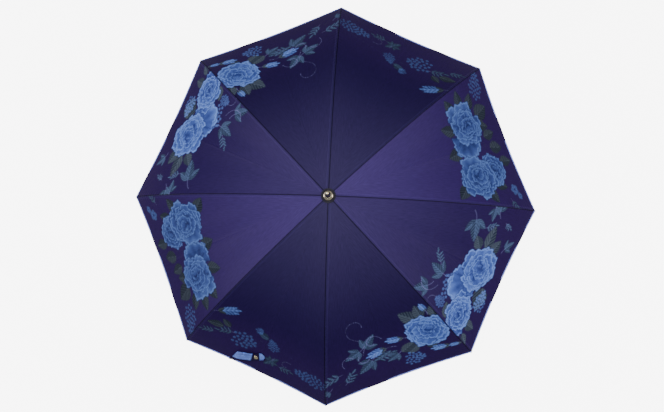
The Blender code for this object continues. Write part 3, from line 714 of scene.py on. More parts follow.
BORDER = {
    "roses_left": [
        ("stem", 0.85, 0.075, 0.20, 160, 30, None, "leaf", 0.0014),
        ("leaf", 0.60, 0.170, 0.048, 28), ("leaf", 0.66, 0.142, 0.046, 2),
        ("leaf", 0.58, 0.112, 0.046, -26),
        ("leaf", 0.44, 0.092, 0.058, -68, 0.36), ("leaf", 0.33, 0.104, 0.048, -104),
        ("leaf", 0.34, 0.186, 0.048, 70), ("leaf", -0.02, 0.188, 0.048, 98, 0.34),
        ("leaf", 0.12, 0.088, 0.046, -82), ("leaf", -0.05, 0.078, 0.048, -100, 0.34),
        ("leaf", -0.28, 0.060, 0.046, -96), ("leaf", -0.64, 0.212, 0.050, 122),
        ("leaf", -0.70, 0.150, 0.044, -160, 0.34), ("leaf", -0.60, 0.118, 0.046, -118),
        ("spray", -0.85, 0.085, 0.038, 190), ("cluster", 0.84, 0.054, 0.021, -24, 1.9),
        ("floret", -0.71, 0.052, 0.017, 10), ("floret", -0.80, 0.040, 0.011, 50),
        ("guard", 0.17, 0.158, 0.046, 190, 1.15), ("peony", -0.37, 0.100, 0.044, 0, 1.0),
        ("peony", 0.39, 0.141, 0.055, 10, 1.0), ("peony", -0.49, 0.168, 0.057, -15, 1.0),
    ],
    "roses_right": [
        ("stem", 0.60, 0.060, 0.22, 175, 20, None, "leaf", 0.0014),
        ("vine_leaf", 0.72, 0.190, 0.058, 206), ("vine_leaf", 0.92, 0.130, 0.040, 22),
        ("vine_leaf", 0.95, 0.150, 0.034, 200), ("spray", 0.76, 0.090, 0.026, -115),
        ("vine_leaf", 0.40, 0.044, 0.036, -40), ("spray", 0.62, 0.150, 0.034, -70),
        ("vine_leaf", -0.38, 0.214, 0.048, 74), ("vine_leaf", -0.74, 0.246, 0.044, 118),
        ("spray", -0.26, 0.230, 0.034, 30), ("stem", -0.60, 0.215, 0.075, 150, -60, -240),
        ("stem", -0.80, 0.200, 0.060, 60, 90, 330), ("cluster", -0.48, 0.176, 0.024, 35, 1.4),
        ("cluster", -0.80, 0.192, 0.012, 80, 1.5), ("leaf", 0.27, 0.132, 0.042, 48, 0.34),
        ("leaf", 0.30, 0.112, 0.066, 4, 0.25), ("leaf", 0.26, 0.088, 0.046, -18, 0.34),
        ("leaf", -0.22, 0.060, 0.062, 186, 0.42), ("cluster", -0.40, 0.048, 0.018, 0, 1.7),
        ("leaf", -0.78, 0.078, 0.044, -96), ("leaf", -0.92, 0.072, 0.036, -130),
        ("leaf", -0.94, 0.155, 0.040, 20),
        ("guard", -0.30, 0.132, 0.050, 150, 1.1), ("peony", -0.02, 0.102, 0.058, 0, 1.08),
        ("peony", -0.72, 0.112, 0.050, 0, 1.05),
    ],
    "single_rose": [
        ("stem", 0.62, 0.100, 0.26, 178, 22, None, "leaf", 0.0014),
        ("leaf", 0.66, 0.182, 0.056, 138, 0.34), ("leaf", 0.74, 0.186, 0.046, 100, 0.30),
        ("leaf", 0.93, 0.182, 0.044, 84, 0.30), ("bud", 0.88, 0.206, 0.030, 112, 0.2),
        ("leaf", 0.46, 0.098, 0.040, 214, 0.32), ("leaf", 0.60, 0.098, 0.036, -60),
        ("bud", 0.30, 0.138, 0.050, 170), ("bud", 0.00, 0.122, 0.060, 186, 0.15),
        ("bud", 0.84, 0.062, 0.052, 174, 0.12), ("bud", 0.99, 0.060, 0.034, 180),
        ("vine_leaf", -0.32, 0.150, 0.048, 46), ("vine_leaf", -0.42, 0.146, 0.044, 196),
        ("vine_leaf", -0.26, 0.098, 0.052, 216), ("spray", -0.20, 0.092, 0.044, 0),
        ("vine_leaf", 0.14, 0.088, 0.038, 206), ("leaf", 0.20, 0.090, 0.046, 32),
        ("cluster", 0.33, 0.052, 0.021, 0, 1.3), ("leaf", 0.05, 0.108, 0.060, 196, 0.12, "vine"),
        ("spray", -0.72, 0.092, 0.052, 176), ("spray", -0.70, 0.048, 0.044, 40),
        ("vine_leaf", -0.94, 0.050, 0.030, 200), ("stem", -0.38, 0.180, 0.120, 150, -90, -420),
        ("stem", -0.02, 0.160, 0.080, 110, 120, 420), ("stem", -0.44, 0.130, 0.060, 230, 160, 300),
        ("stem", -0.68, 0.110, 0.060, 120, -120, -260), ("peony", 0.68, 0.140, 0.054, -12, 1.08),
    ],
    "vine": [
        ("stem", -0.95, 0.120, 0.30, 4, -14, None, "tendril", 0.0010),
        ("cluster", 0.76, 0.075, 0.019, 178, 2.4), ("vine_leaf", 0.14, 0.062, 0.032, 50),
        ("vine_leaf", 0.16, 0.070, 0.032, 235), ("spray", 0.26, 0.060, 0.034, -12),
        ("cluster", 0.12, 0.124, 0.013, 120, 1.6), ("leaf", 0.02, 0.140, 0.032, 165, 0.30, "vine"),
        ("cluster", -0.16, 0.154, 0.009, 40, 1.2), ("cluster", -0.32, 0.098, 0.027, 8, 1.25),
        ("spray", -0.50, 0.112, 0.040, 184), ("leaf", -0.70, 0.122, 0.044, 184, 0.26),
        ("leaf", -0.60, 0.126, 0.032, 140, 0.28), ("spray", -0.74, 0.090, 0.036, 180),
        ("bud", -0.92, 0.168, 0.064, 26, 0.13), ("stem", 0.45, 0.090, 0.050, 160, 100, 380),
    ],
}
GORES = ("roses_left", "vine", "single_rose", "roses_right") * 2

# A factor on the print's dyes on each gore, and the share of painted sheen in each gore's ground:
# the purple is the navy satin's sheen, painted into the colour gore by gore
DYE_STRENGTH = {"roses_left": 0.56, "vine": 0.56, "single_rose": 1.0, "roses_right": 1.0}
PAINTED_SHEEN_SHARE = {"roses_left": 1.0, "vine": 0.0, "single_rose": 0.05, "roses_right": 0.5}

# Painted sheen: towards the crown the cloth is lighter by a share of its own colour and by a linear
# tint
CROWN_SHEEN_GAIN = 0.75
CROWN_SHEEN_TINT = (0.0108, 0.0120, 0.0050)


def printed_border(name, u, v, surface, dyes):
    """Colour and cover of one gore's border at points u across and v up from the hem."""
    cloth = Dyeing(u, v, dyes)
    for kind, across, up, size, turn, *more in BORDER[name]:
        place = (across * float(surface.half_gore(surface.hem - up)), up)
        getattr(cloth, kind)(place, size, turn, *more)
    return cloth.colour, cloth.cover


# Cloth panels


def seam_relief(side, along, sizes):
    """Height of the felled seam, its groove and its puckers, side metres off the rib."""
    past_seam = soft_step(side, sizes.seam_width - 0.0006, sizes.seam_width)
    raised = soft_step(side, 0.0003, 0.0012) * (1 - past_seam)
    groove = np.exp(-((side / 0.0008) ** 2))
    pucker = np.exp(-np.abs(side) / 0.011) * np.sin(2 * math.pi * along / 0.0105)
    return 0.00045 * raised - 0.0004 * groove + 0.00018 * pucker


def gore_relief(gore, part, side, along, surface):
    """Folds that belong to the gore: a pressed crease up its middle, drag lines from the rib
    tips and a light ripple. part runs from -1 to 1 over the gore, side is metres off its middle."""
    chance = np.random.default_rng(40 + gore)
    phase = chance.uniform(0, 2 * math.pi, 4)
    up = surface.hem - along
    crease = 0.0004 * np.exp(-np.abs(side) / 0.0016) * soft_step(along, 0.02, 0.12)
    free = 1 - part**2
    ripple = 0.0006 * free * np.sin(9 * part + phase[0] + 5 * up) * soft_step(along, 0.04, 0.3)
    corner = (1 - np.abs(part)) * surface.half_gore(along)
    reach = np.hypot(corner, up)
    fan = np.sin(17 * np.arctan2(corner, up + 1e-4) + phase[1])
    drag = 0.00012 * fan * np.exp(-reach / 0.07) * soft_step(corner, 0.0, 0.02)
    flutter = 0.0008 * free * np.sin(7 * part + phase[2]) * np.exp(-up / 0.03)
    return crease + ripple + drag + flutter


def ground_colour(kind, up, dyes):
    """Navy in one pair of gores and a painted purple sheen in the next, a painted sheen towards the
    crown, and deeper in the border.
    """
    navy, purple, border = (np.array(linear(c)) for c in (dyes.navy, dyes.purple, dyes.border))
    inner = navy + (purple - navy) * PAINTED_SHEEN_SHARE[kind]
    # Painted sheen, growing towards the crown
    crown = soft_step(up, 0.16, 0.58)[:, None]
    inner = inner * (1 + CROWN_SHEEN_GAIN * crown) + np.array(CROWN_SHEEN_TINT) * crown
    into = (1 - soft_step(up, 0.05, 0.24))[:, None]
    return inner + (border - inner) * into


def finished(shape, name):
    """A mesh of a bmesh, which is freed."""
    mesh = bpy.data.meshes.new(name)
    shape.to_mesh(mesh)
    shape.free()
    return mesh


def sealed(mesh, distance=1e-6, caps=True):
    """Merges a mesh's meeting edges, closes its open ends and turns its faces outwards."""
    shape = bmesh.new()
    shape.from_mesh(mesh)
    bmesh.ops.remove_doubles(shape, verts=shape.verts, dist=distance)
    if caps:
        ends = [edge for edge in shape.edges if edge.is_boundary]
        bmesh.ops.holes_fill(shape, edges=ends, sides=0)
    bmesh.ops.recalc_face_normals(shape, faces=shape.faces)
    shape.to_mesh(mesh)
    shape.free()


def grid_mesh(name, rows, columns):
    """A grid of rows along X and columns along Y, both from -1 to 1, and its points."""
    shape = bmesh.new()
    bmesh.ops.create_grid(shape, x_segments=rows, y_segments=columns, size=1.0)
    mesh = finished(shape, name)
    flat = np.empty(3 * len(mesh.vertices))
    mesh.vertices.foreach_get("co", flat)
    return mesh, flat.reshape(-1, 3)


def near_edges(places, count):
    """Moves the rows next to an edge up against it, so that the turned-over edge shades as a
    line."""
    step, inset = 2 / count, 0.0008
    beside_edge = np.abs(np.abs(places) - (1 - step)) < 0.1 * step
    return np.where(beside_edge, np.sign(places) * (1 - inset), places)


def place_points(mesh, points):
    mesh.vertices.foreach_set("co", points.astype(np.float32).ravel())
    mesh.update()


def add_map(mesh, name, across, along):
    """A UV map in metres on the cloth or wood."""
    layer = mesh.uv_layers.new(name=name)
    corners = np.empty(len(mesh.loops), dtype=np.int32)
    mesh.loops.foreach_get("vertex_index", corners)
    places = np.stack([across, along], -1)[corners]
    layer.data.foreach_set("uv", places.astype(np.float32).ravel())


def add_dyes(mesh, colour, cover):
    layer = mesh.color_attributes.new(name="print", type="FLOAT_COLOR", domain="POINT")
    dyed = np.column_stack([colour, cover])
    layer.data.foreach_set("color", dyed.astype(np.float32).ravel())


def add_piece(name, mesh, body, materials, smooth_to=180.0):
    """A finished piece at the origin, riding on a body of the frame."""
    piece = bpy.data.objects.new(name, mesh)
    bpy.context.scene.collection.objects.link(piece)
    for material in materials:
        mesh.materials.append(material)
    mesh.shade_smooth()
    if smooth_to < 180:
        mesh.set_sharp_from_angle(angle=math.radians(smooth_to))
    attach(piece, body)
    return piece


def give_thickness(piece, thickness, back=1):
    wall = piece.modifiers.new("cloth thickness", "SOLIDIFY")
    wall.thickness = thickness
    wall.offset = 0.0
    wall.material_offset = back
    wall.material_offset_rim = 0


def squash_with_fold(piece):
    """Gives the piece a mesh of its own."""
    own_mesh(piece)


def make_panel(name, body, rib, start, end, rows, surface, dyes, materials):
    """Cloth over one rib between two lengths along it, printed, seamed and creased. Returns it
    and its area."""
    sizes = surface.sizes
    mesh, grid = grid_mesh(name, rows, 2 * sizes.columns)
    along = start + (end - start) * (near_edges(grid[:, 0], rows) + 1) / 2
    across = near_edges(grid[:, 1], 2 * sizes.columns)
    across = np.sign(across) * np.abs(across) ** 1.35
    side = np.abs(across) * surface.half_gore(along) * np.sign(across)
    up = surface.hem - along
    colour, cover = np.zeros((len(along), 3)), np.zeros(len(along))
    height = seam_relief(side, along, sizes)
    if end < surface.hem:
        height -= 0.0006 * soft_step(along, sizes.flex_at - 0.0015, sizes.flex_at - 0.0003)
    for sign, gore in ((1, rib), (-1, (rib - 2) % RIB_COUNT + 1)):
        half = across >= 0 if sign > 0 else across < 0
        part = across[half] - sign
        u = part * surface.half_gore(along[half])
        height[half] += gore_relief(gore, part, u, along[half], surface)
        kind = GORES[gore - 1]
        ground = ground_colour(kind, up[half], dyes)
        dyed, covered = printed_border(kind, u, up[half], surface, dyes)
        colour[half] = ground + (dyed * DYE_STRENGTH[kind] - ground) * covered[:, None]
        cover[half] = covered
    # Painted shade along the seam's groove and a painted sheen along its raised allowance,
    # multiplied into the colour
    groove_painted_shade = 1 - 0.80 * np.exp(-(((side + 0.0002) / 0.0014) ** 2))
    seam_painted_sheen = 1 + 0.30 * np.exp(-(((side - 0.0060) / 0.0015) ** 2))
    colour *= (groove_painted_shade * seam_painted_sheen)[:, None]
    points = surface.points(along, across) + surface.normals(along, across) * height[:, None]
    place_points(mesh, to_world(points, rib))
    add_map(mesh, "cloth", side, along)
    add_dyes(mesh, colour, cover)
    piece = add_piece(name, mesh, body, materials)
    area = sum(face.area for face in mesh.polygons)
    give_thickness(piece, sizes.thickness)
    squash_with_fold(piece)
    return piece, area


def make_hem(rib, surface, material):
    """Bias tape folded over the raw edge of one panel."""
    mesh, grid = grid_mesh(f"hem_{rib}", 96, 16)
    across = grid[:, 0]
    turn = math.pi * grid[:, 1]
    along = np.full(len(across), surface.hem)
    normal = surface.normals(along, across)
    out = surface.points(along, across) - surface.points(along - 0.002, across)
    out /= np.linalg.norm(out, axis=-1, keepdims=True)
    flat = np.sign(np.cos(turn)) * np.abs(np.cos(turn)) ** 0.6
    points = (
        surface.points(along, across)
        + out * (0.0027 * flat - 0.0019)[:, None]
        + normal * (0.00062 * np.sin(turn))[:, None]
    )
    place_points(mesh, to_world(points, rib))
    add_map(mesh, "cloth", across * surface.half_gore(surface.hem), turn * 0.0007)
    sealed(mesh)
    piece = add_piece(f"hem_{rib}", mesh, f"outer_rib_{rib}", [material], 50)
    squash_with_fold(piece)
    return piece


# Turned and bent shapes


def turned(name, profile, steps=96):
    """A profile of (radius, z) points turned about Z and closed. It may start and end on Z."""
    shape = bmesh.new()
    points = [shape.verts.new((radius, 0, z)) for radius, z in profile]
    lines = [shape.edges.new(pair) for pair in zip(points, points[1:])]
    bmesh.ops.spin(
        shape, geom=points + lines, axis=(0, 0, 1), cent=(0, 0, 0),
        angle=2 * math.pi, steps=steps, use_merge=True,
    )
    bmesh.ops.remove_doubles(shape, verts=shape.verts, dist=1e-6)
    bmesh.ops.recalc_face_normals(shape, faces=shape.faces)
    return finished(shape, name)


def mirrored(profile):
    """A profile above Z = 0, with its mirror image below it first."""
    return [(radius, -z) for radius, z in reversed(profile)] + profile


def rounded(centre, radius, start, end, count=6):
    """Profile points on an arc, in degrees from outward towards up."""
    turns = [math.radians(start + (end - start) * i / (count - 1)) for i in range(count)]
    return [(centre[0] + radius * math.cos(t), centre[1] + radius * math.sin(t)) for t in turns]


def rib_place(rib, x, z, dip=0.0):
    """Matrix that puts a shape on a rib: its X outwards along the dip, its Y along the pivot."""
    turn = Matrix.Rotation((rib - 1) * SECTOR, 4, "Z")
    place = Matrix.Translation((PIVOT_RADIUS + x, 0, NOTCH_Z + z))
    return turn @ place @ Matrix.Rotation(dip, 4, "Y")


# Operators


class UMBRELLA_OT_canopy(bpy.types.Operator):
    """Makes the printed cloth over every rib, with its bound hem"""

    bl_idname = "umbrella.canopy"
    bl_label = "Canopy"

    crown_hole = 0.0006
    # How far the skirt starts before the flex joint, and the cloth turned under at its two ends
    skirt_start = 0.0018
    turned_under = 0.006
    # Stitch rows: in from the seam's two sides, and up from the hem
    seam_stitches = (0.0014, 0.0012)
    hem_stitches = 0.0052

    def execute(self, context):
        sizes, dyes = context.scene.umbrella_canopy, context.scene.umbrella_dyes
        surface = CanopySurface(sizes)
        near, far = self.seam_stitches
        rows = (near, sizes.seam_width - far)
        satin = printed_satin("printed_satin", dyes, rows, surface.hem - self.hem_stitches)
        cloth = [satin, coated_backing(dyes)]
        tape = plain_weave("bias_tape", dyes.hem)
        top_end = sizes.flex_at + sizes.overlap
        for rib in range(1, RIB_COUNT + 1):
            inner, outer = f"rib_{rib}", f"outer_rib_{rib}"
            top, area = make_panel(
                f"canopy_top_{rib}", inner, rib, self.crown_hole, top_end,
                sizes.upper_rows, surface, dyes, cloth,
            )
            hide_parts(f"canopy_upper_{rib}")
            skirt, area = make_panel(
                f"canopy_skirt_{rib}", outer, rib, sizes.flex_at - self.skirt_start, surface.hem,
                sizes.lower_rows, surface, dyes, cloth,
            )
            hem = make_hem(rib, surface, tape)
            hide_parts(f"canopy_lower_{rib}")
        return {"FINISHED"}


class UMBRELLA_OT_rosette(bpy.types.Operator):
    """Makes the pleated cloth rosette between the canopy and the cap"""

    bl_idname = "umbrella.rosette"
    bl_label = "Rosette"
    pleats = 24

    def execute(self, context):
        radius = context.scene.umbrella_metal.rosette_radius
        lift = context.scene.umbrella_canopy.lift
        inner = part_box("ferrule")[1].x
        mesh, grid = grid_mesh("rosette", 14, 240)
        turn = math.pi * (grid[:, 1] + 1)
        part = (grid[:, 0] + 1) / 2
        pinked = 1 + 0.03 * np.sin(self.pleats * turn) * part
        reach = (inner + (radius - inner) * part) * pinked
        dip = math.radians(context.scene.umbrella_canopy.slope_top)
        fall = np.maximum(reach - PIVOT_RADIUS, 0) * math.sin(dip)
        pleat = 0.00045 * np.sin(self.pleats * turn) * soft_step(part, 0.35, 1.0)
        height = NOTCH_Z + lift + 0.00055 - fall + pleat + 0.0004 * soft_step(part, 0.6, 1.0)
        place_points(mesh, np.stack([reach * np.cos(turn), reach * np.sin(turn), height], -1))
        sealed(mesh, caps=False)
        cloth = plain_weave("rosette_twill", context.scene.umbrella_dyes.rosette)
        piece = add_piece("rosette", mesh, "shaft", [cloth])
        give_thickness(piece, 0.0003, back=0)
        return {"FINISHED"}


class UMBRELLA_OT_point(bpy.types.Operator):
    """Makes the plated cap and the spike over the shaft's top"""

    bl_idname = "umbrella.point"
    bl_label = "Cap and spike"

    def execute(self, context):
        metal = context.scene.umbrella_metal
        plate = nickel_plate("buffed_nickel_plate", metal, 0.35)
        self.cap(plate)
        self.spike(plate, nickel_plate("worn_spike_end", metal, 1.0))
        return {"FINISHED"}

    def cap(self, plate):
        low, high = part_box("top_cap")
        outer, ferrule = high.x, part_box("ferrule")[1].x
        inner, neck = ferrule - 0.0010, ferrule + 0.0008
        turns = [math.radians(angle) for angle in range(90, 11, -6)]
        wide, rise = outer - neck, high.z - low.z - 0.0035
        foot = low.z + 0.0015
        dome = [(neck + wide * math.sin(t), foot + rise * math.cos(t)) for t in turns]
        profile = (
            [(inner, low.z), (outer - 0.0006, low.z)]
            + rounded((outer - 0.0006, low.z + 0.0007), 0.0006, -90, 90)
            + dome
            + [(neck, high.z - 0.0018), (neck + 0.0004, high.z - 0.0010), (neck, high.z - 0.0002)]
            + [(neck - 0.0004, high.z), (inner, high.z), (inner, low.z)]
        )
        piece = add_piece("cap_dome", turned("cap_dome", profile), "shaft", [plate], 35)
        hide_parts("top_cap")

    def spike(self, plate, worn):
        low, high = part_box("ferrule")
        wide, top = high.x, high.z
        tip = wide - 0.0028
        bead = tip + 0.0008
        profile = (
            [(0.0, low.z + 0.015), (wide - 0.0014, low.z + 0.015), (wide - 0.0014, low.z)]
            + rounded((wide - 0.0003, low.z + 0.0003), 0.0003, -90, 0, 4)
            + [(wide, low.z + 0.0024), (wide - 0.0003, low.z + 0.0028), (wide, low.z + 0.0032)]
            + [(wide, low.z + 0.0160), (wide - 0.0008, low.z + 0.0200), (tip, top - 0.0112)]
            + rounded((bead - 0.0006, top - 0.0104), 0.0006, -40, 60, 5)
            + [(bead, top - 0.0090), (bead, top - 0.0030)]
            + rounded((bead - 0.0030, top - 0.0030), 0.0030, 0, 70, 7)
            + [(0.0, top)]
        )
        mesh = turned("spike", profile)
        piece = add_piece("spike", mesh, "shaft", [plate, worn], 35)
        for face in mesh.polygons:
            face.material_index = int(face.center.z > top - 0.0106)
        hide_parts("ferrule")


class UMBRELLA_OT_strap(bpy.types.Operator):
    """Makes the closing strap with its printed face, black back, stitching and press stud"""

    bl_idname = "umbrella.strap"
    bl_label = "Closing strap"
    rib = 6
    # Each petal's place along and across the strap, its size and its turn in degrees
    petals = (
        (0.006, -0.003, 0.013, 200), (0.020, 0.006, 0.013, 150), (0.034, -0.004, 0.012, 20),
        (0.047, 0.004, 0.011, 330), (0.082, 0.0, 0.010, 90),
    )

    def execute(self, context):
        strap, dyes = context.scene.umbrella_strap, context.scene.umbrella_dyes
        surface = CanopySurface(context.scene.umbrella_canopy)
        band, reach = self.band(surface, strap, dyes)
        stud = self.stud(surface, strap, context.scene.umbrella_metal)
        return {"FINISHED"}

    def middle_line(self, surface, strap, part):
        """Centre, side and normal of the strap at shares of its length."""
        start = np.array([surface.sizes.rib_length - strap.start_up, strap.start_across])
        end = np.array([surface.sizes.rib_length - strap.end_up, strap.end_across])
        place = start + (end - start) * part[:, None]
        ahead = start + (end - start) * (part[:, None] + 0.05)
        centre = surface.points(place[:, 0], place[:, 1])
        normal = surface.normals(place[:, 0], place[:, 1])
        forward = surface.points(ahead[:, 0], ahead[:, 1]) - centre
        side = np.cross(normal, forward)
        return centre, side / np.linalg.norm(side, axis=-1, keepdims=True), normal

    def band(self, surface, strap, dyes):
        mesh, grid = grid_mesh("strap_band", 90, 22)
        ends, _, _ = self.middle_line(surface, strap, np.linspace(0, 1, 40))
        reach = float(np.sum(np.linalg.norm(np.diff(ends, axis=0), axis=-1)))
        beside = grid[:, 1]
        part = np.clip((grid[:, 0] + 1) / 2, 0, 1)
        cut = part + strap.slant / reach * beside * (1 - part)
        centre, side, normal = self.middle_line(surface, strap, cut)
        wide = 0.5 * strap.width * (1 + strap.flare * (1 - part) * np.where(beside > 0, 1, 0.3))
        wide *= 1 - 0.55 * soft_step(part, 0.93, 1.0) ** 2 * beside**2
        rise = strap.lift + strap.arch * np.sin(math.pi * part**0.8)
        rise += 0.0007 * np.sin(11 * part + 2 * beside) + 0.0011 * beside**2 * (1 - part)
        rise += 0.0003 * soft_step(np.abs(beside), 0.84, 0.96)
        across = beside * wide
        points = centre + side * across[:, None] + normal * rise[:, None]
        place_points(mesh, to_world(points, self.rib))
        along = cut * reach
        add_map(mesh, "cloth", across, along)
        colour = self.print_colours(along, across, part, beside, strap, dyes)
        add_dyes(mesh, colour, np.ones(len(part)))
        rows = (-0.41 * strap.width, 0.41 * strap.width)
        face = printed_satin("strap_satin", dyes, rows)
        back = plain_weave("strap_backing", strap.back)
        piece = add_piece("strap_band", mesh, "strap", [face, back])
        give_thickness(piece, 0.0008)
        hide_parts("strap")
        return piece, reach

    def print_colours(self, along, across, part, beside, strap, dyes):
        """Petals of a light flower over the strap. The ground is dark under the stud, and a painted
        shadow darkens the hem side of the strap's first part."""
        ground = np.array(linear(dyes.border))
        pale = np.array(linear(strap.pale))
        cloth = Dyeing(along, across, dyes)
        cloth.colour[:] = np.array(linear(strap.blue))
        for i, (x, y, size, turn) in enumerate(self.petals):
            cloth.petal((x, y), turn, size, 1.1, 300 + i)
        colour = cloth.colour + (pale - cloth.colour) * 0.26
        dark = soft_step(part, 0.57, 0.62) * (1 - soft_step(part, 0.83, 0.87))
        # Painted shadow: the hem side of the strap's first part is darkened towards the ground's
        # colour
        painted_shadow = soft_step(-0.15 - 1.3 * part - beside, 0.0, 0.10)
        return colour + (ground * 0.5 - colour) * np.maximum(dark, painted_shadow)[:, None]

    def stud(self, surface, strap, metal):
        """Press stud: a domed cap with a rolled rim through the strap."""
        centre, _, normal = self.middle_line(surface, strap, np.array([strap.stud_at]))
        rise = strap.lift + strap.arch * math.sin(math.pi * strap.stud_at**0.8)
        seat = to_world((centre + normal * (rise + 0.0004))[0], self.rib)
        up = to_world((centre + normal)[0], self.rib) - to_world(centre[0], self.rib)
        radius = strap.stud_radius
        profile = (
            [(0.0, -0.0009), (radius - 0.0012, -0.0009)]
            + rounded((radius - 0.0006, 0.0004), 0.0006, -90, 90)
            + [(radius - 0.0012, 0.0008), (radius - 0.0020, 0.0013), (0.55 * radius, 0.0022)]
            + [(0.28 * radius, 0.0028), (0.0, 0.0030)]
        )
        mesh = turned("press_stud", profile, 64)
        turn = Vector(up).normalized().to_track_quat("Z", "Y").to_matrix().to_4x4()
        mesh.transform(Matrix.Translation(Vector(seat)) @ turn)
        plate = nickel_plate("stud_plate", metal, 0.9)
        return add_piece("press_stud", mesh, "strap", [plate], 40)


class UMBRELLA_OT_fittings(bpy.types.Operator):
    """Makes the rivets, joint sleeves and tie threads on every rib"""

    bl_idname = "umbrella.fittings"
    bl_label = "Rib fittings"
    # Along the rib: the tie thread, and how far the sleeve's middle is before the flex joint
    tied_at = 0.19
    sleeve_before = 0.004

    def execute(self, context):
        sizes, metal = context.scene.umbrella_canopy, context.scene.umbrella_metal
        surface = CanopySurface(sizes)
        rivet_plate = nickel_plate("rivet_plate", metal, 0.5)
        steel = black_lacquer(metal)
        thread = plain_weave("bonded_thread", context.scene.umbrella_dyes.tie, 0.7, 0.0004)
        for rib in range(1, RIB_COUNT + 1):
            self.rivet(rib, rivet_plate)
            self.sleeve(rib, surface, steel)
            self.tie(rib, surface, thread)
        return {"FINISHED"}

    def rivet(self, rib, plate):
        """Peened pin through the stretcher's fork and the rib's tab."""
        corner, eye_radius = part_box("stretcher_1")[1], 0.0024
        eye_x, eye_z = corner.x - eye_radius - PIVOT_RADIUS, corner.z - eye_radius - NOTCH_Z
        half, head, pin = 0.00175, 0.00125, 0.00070
        dome = [(head * 0.7, half + 0.0004), (0.0, half + 0.0005)]
        mesh = turned(f"rivet_{rib}", mirrored([(pin, half), (head, half)] + dome), 20)
        mesh.transform(rib_place(rib, eye_x, eye_z) @ Matrix.Rotation(math.pi / 2, 4, "X"))
        add_piece(f"rivet_{rib}", mesh, f"stretcher_{rib}", [plate], 40)

    def sleeve(self, rib, surface, steel):
        """Crimped sleeve that joins the steel rib to the rod."""
        at = surface.sizes.flex_at - self.sleeve_before
        x, z = surface.rib(at)
        outer, half, crimp = 0.0026, 0.0090, 0.0003
        dented = [(outer, 0.002), (outer - crimp, 0.0026), (outer - crimp, 0.0034), (outer, 0.004)]
        end = [(outer, half - 0.0004), (outer - 0.0004, half), (0.0, half)]
        mesh = turned(f"joint_sleeve_{rib}", mirrored(dented + end), 28)
        dip = float(surface.slope(at))
        place = rib_place(rib, float(x), float(z), dip) @ Matrix.Rotation(math.pi / 2, 4, "Y")
        mesh.transform(place)
        add_piece(f"joint_sleeve_{rib}", mesh, f"rib_{rib}", [steel], 40)

    def tie(self, rib, surface, thread):
        """A few turns of thread that hold the seam to the rib."""
        shape = bmesh.new()
        for offset in (-0.0008, 0.0, 0.0008):
            at = self.tied_at + offset
            x, z = surface.rib(at, 0.0012)
            dip = float(surface.slope(at))
            ring = bmesh.ops.create_circle(shape, radius=0.00022, segments=6)["verts"]
            bmesh.ops.transform(
                shape, verts=ring,
                matrix=Matrix.Translation((0.0025, 0, 0)) @ Matrix.Rotation(math.pi / 2, 4, "X"),
            )
            edges = list({edge for vert in ring for edge in vert.link_edges})
            bmesh.ops.spin(
                shape, geom=list(ring) + edges, axis=(0, 0, 1), cent=(0, 0, 0),
                angle=2 * math.pi, steps=20, use_merge=True,
            )
            loop = [vert for vert in shape.verts if not vert.tag]
            place = rib_place(rib, float(x), float(z), dip) @ Matrix.Rotation(math.pi / 2, 4, "Y")
            bmesh.ops.transform(shape, verts=loop, matrix=place)
            for vert in loop:
                vert.tag = True
        bmesh.ops.remove_doubles(shape, verts=shape.verts, dist=1e-6)
        bmesh.ops.recalc_face_normals(shape, faces=shape.faces)
        name = f"tie_{rib}"
        add_piece(name, finished(shape, name), f"rib_{rib}", [thread])


class UMBRELLA_OT_handle(bpy.types.Operator):
    """Makes the bent wooden crook"""

    bl_idname = "umbrella.handle"
    bl_label = "Handle"
    steps = 180
    sides = 48

    def execute(self, context):
        handle = context.scene.umbrella_handle
        low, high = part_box("handle")
        bend = low.z + handle.radius + handle.crook_radius
        spine = np.array(self.spine(high.z, bend, handle))
        mesh, grid = grid_mesh("crook_handle", self.steps, self.sides)
        row = np.rint((grid[:, 0] + 1) / 2 * self.steps).astype(int)
        turn = math.pi * (grid[:, 1] + 1)
        x, z, heading, radius, along = spine[row].T
        out, side = radius * np.cos(turn), radius * np.sin(turn)
        points = np.stack([x - out * np.sin(heading), side, z + out * np.cos(heading)], -1)
        place_points(mesh, points)
        add_map(mesh, "grain", turn * handle.radius, along)
        sealed(mesh, 1e-5)
        piece = add_piece("crook_handle", mesh, "shaft", [stained_wood(handle)], 50)
        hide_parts("handle")
        return {"FINISHED"}

    def spine(self, top, bend, handle):
        """Rows down the handle: x, z, heading, radius and length so far. The ends are rounded."""
        straight, rise, crook = top - bend, handle.crook_rise, handle.crook_radius
        total = straight + math.pi * crook + rise
        rows = []
        for i in range(self.steps + 1):
            at = total * i / self.steps
            if at < straight:
                x, z, heading = 0.0, top - at, -math.pi / 2
            elif at < straight + math.pi * crook:
                turn = (at - straight) / crook
                x, z = crook * (1 - math.cos(turn)), bend - crook * math.sin(turn)
                heading = turn - math.pi / 2
            else:
                x, z, heading = 2 * crook, bend + at - straight - math.pi * crook, math.pi / 2
            left = min(at + 0.006, total - at)
            end = handle.radius
            shrink = math.sqrt(max(0.0, 1 - (1 - min(1.0, left / end)) ** 2)) if left < end else 1.0
            rows.append((x, z, heading, end * max(shrink, 0.02), at))
        return rows


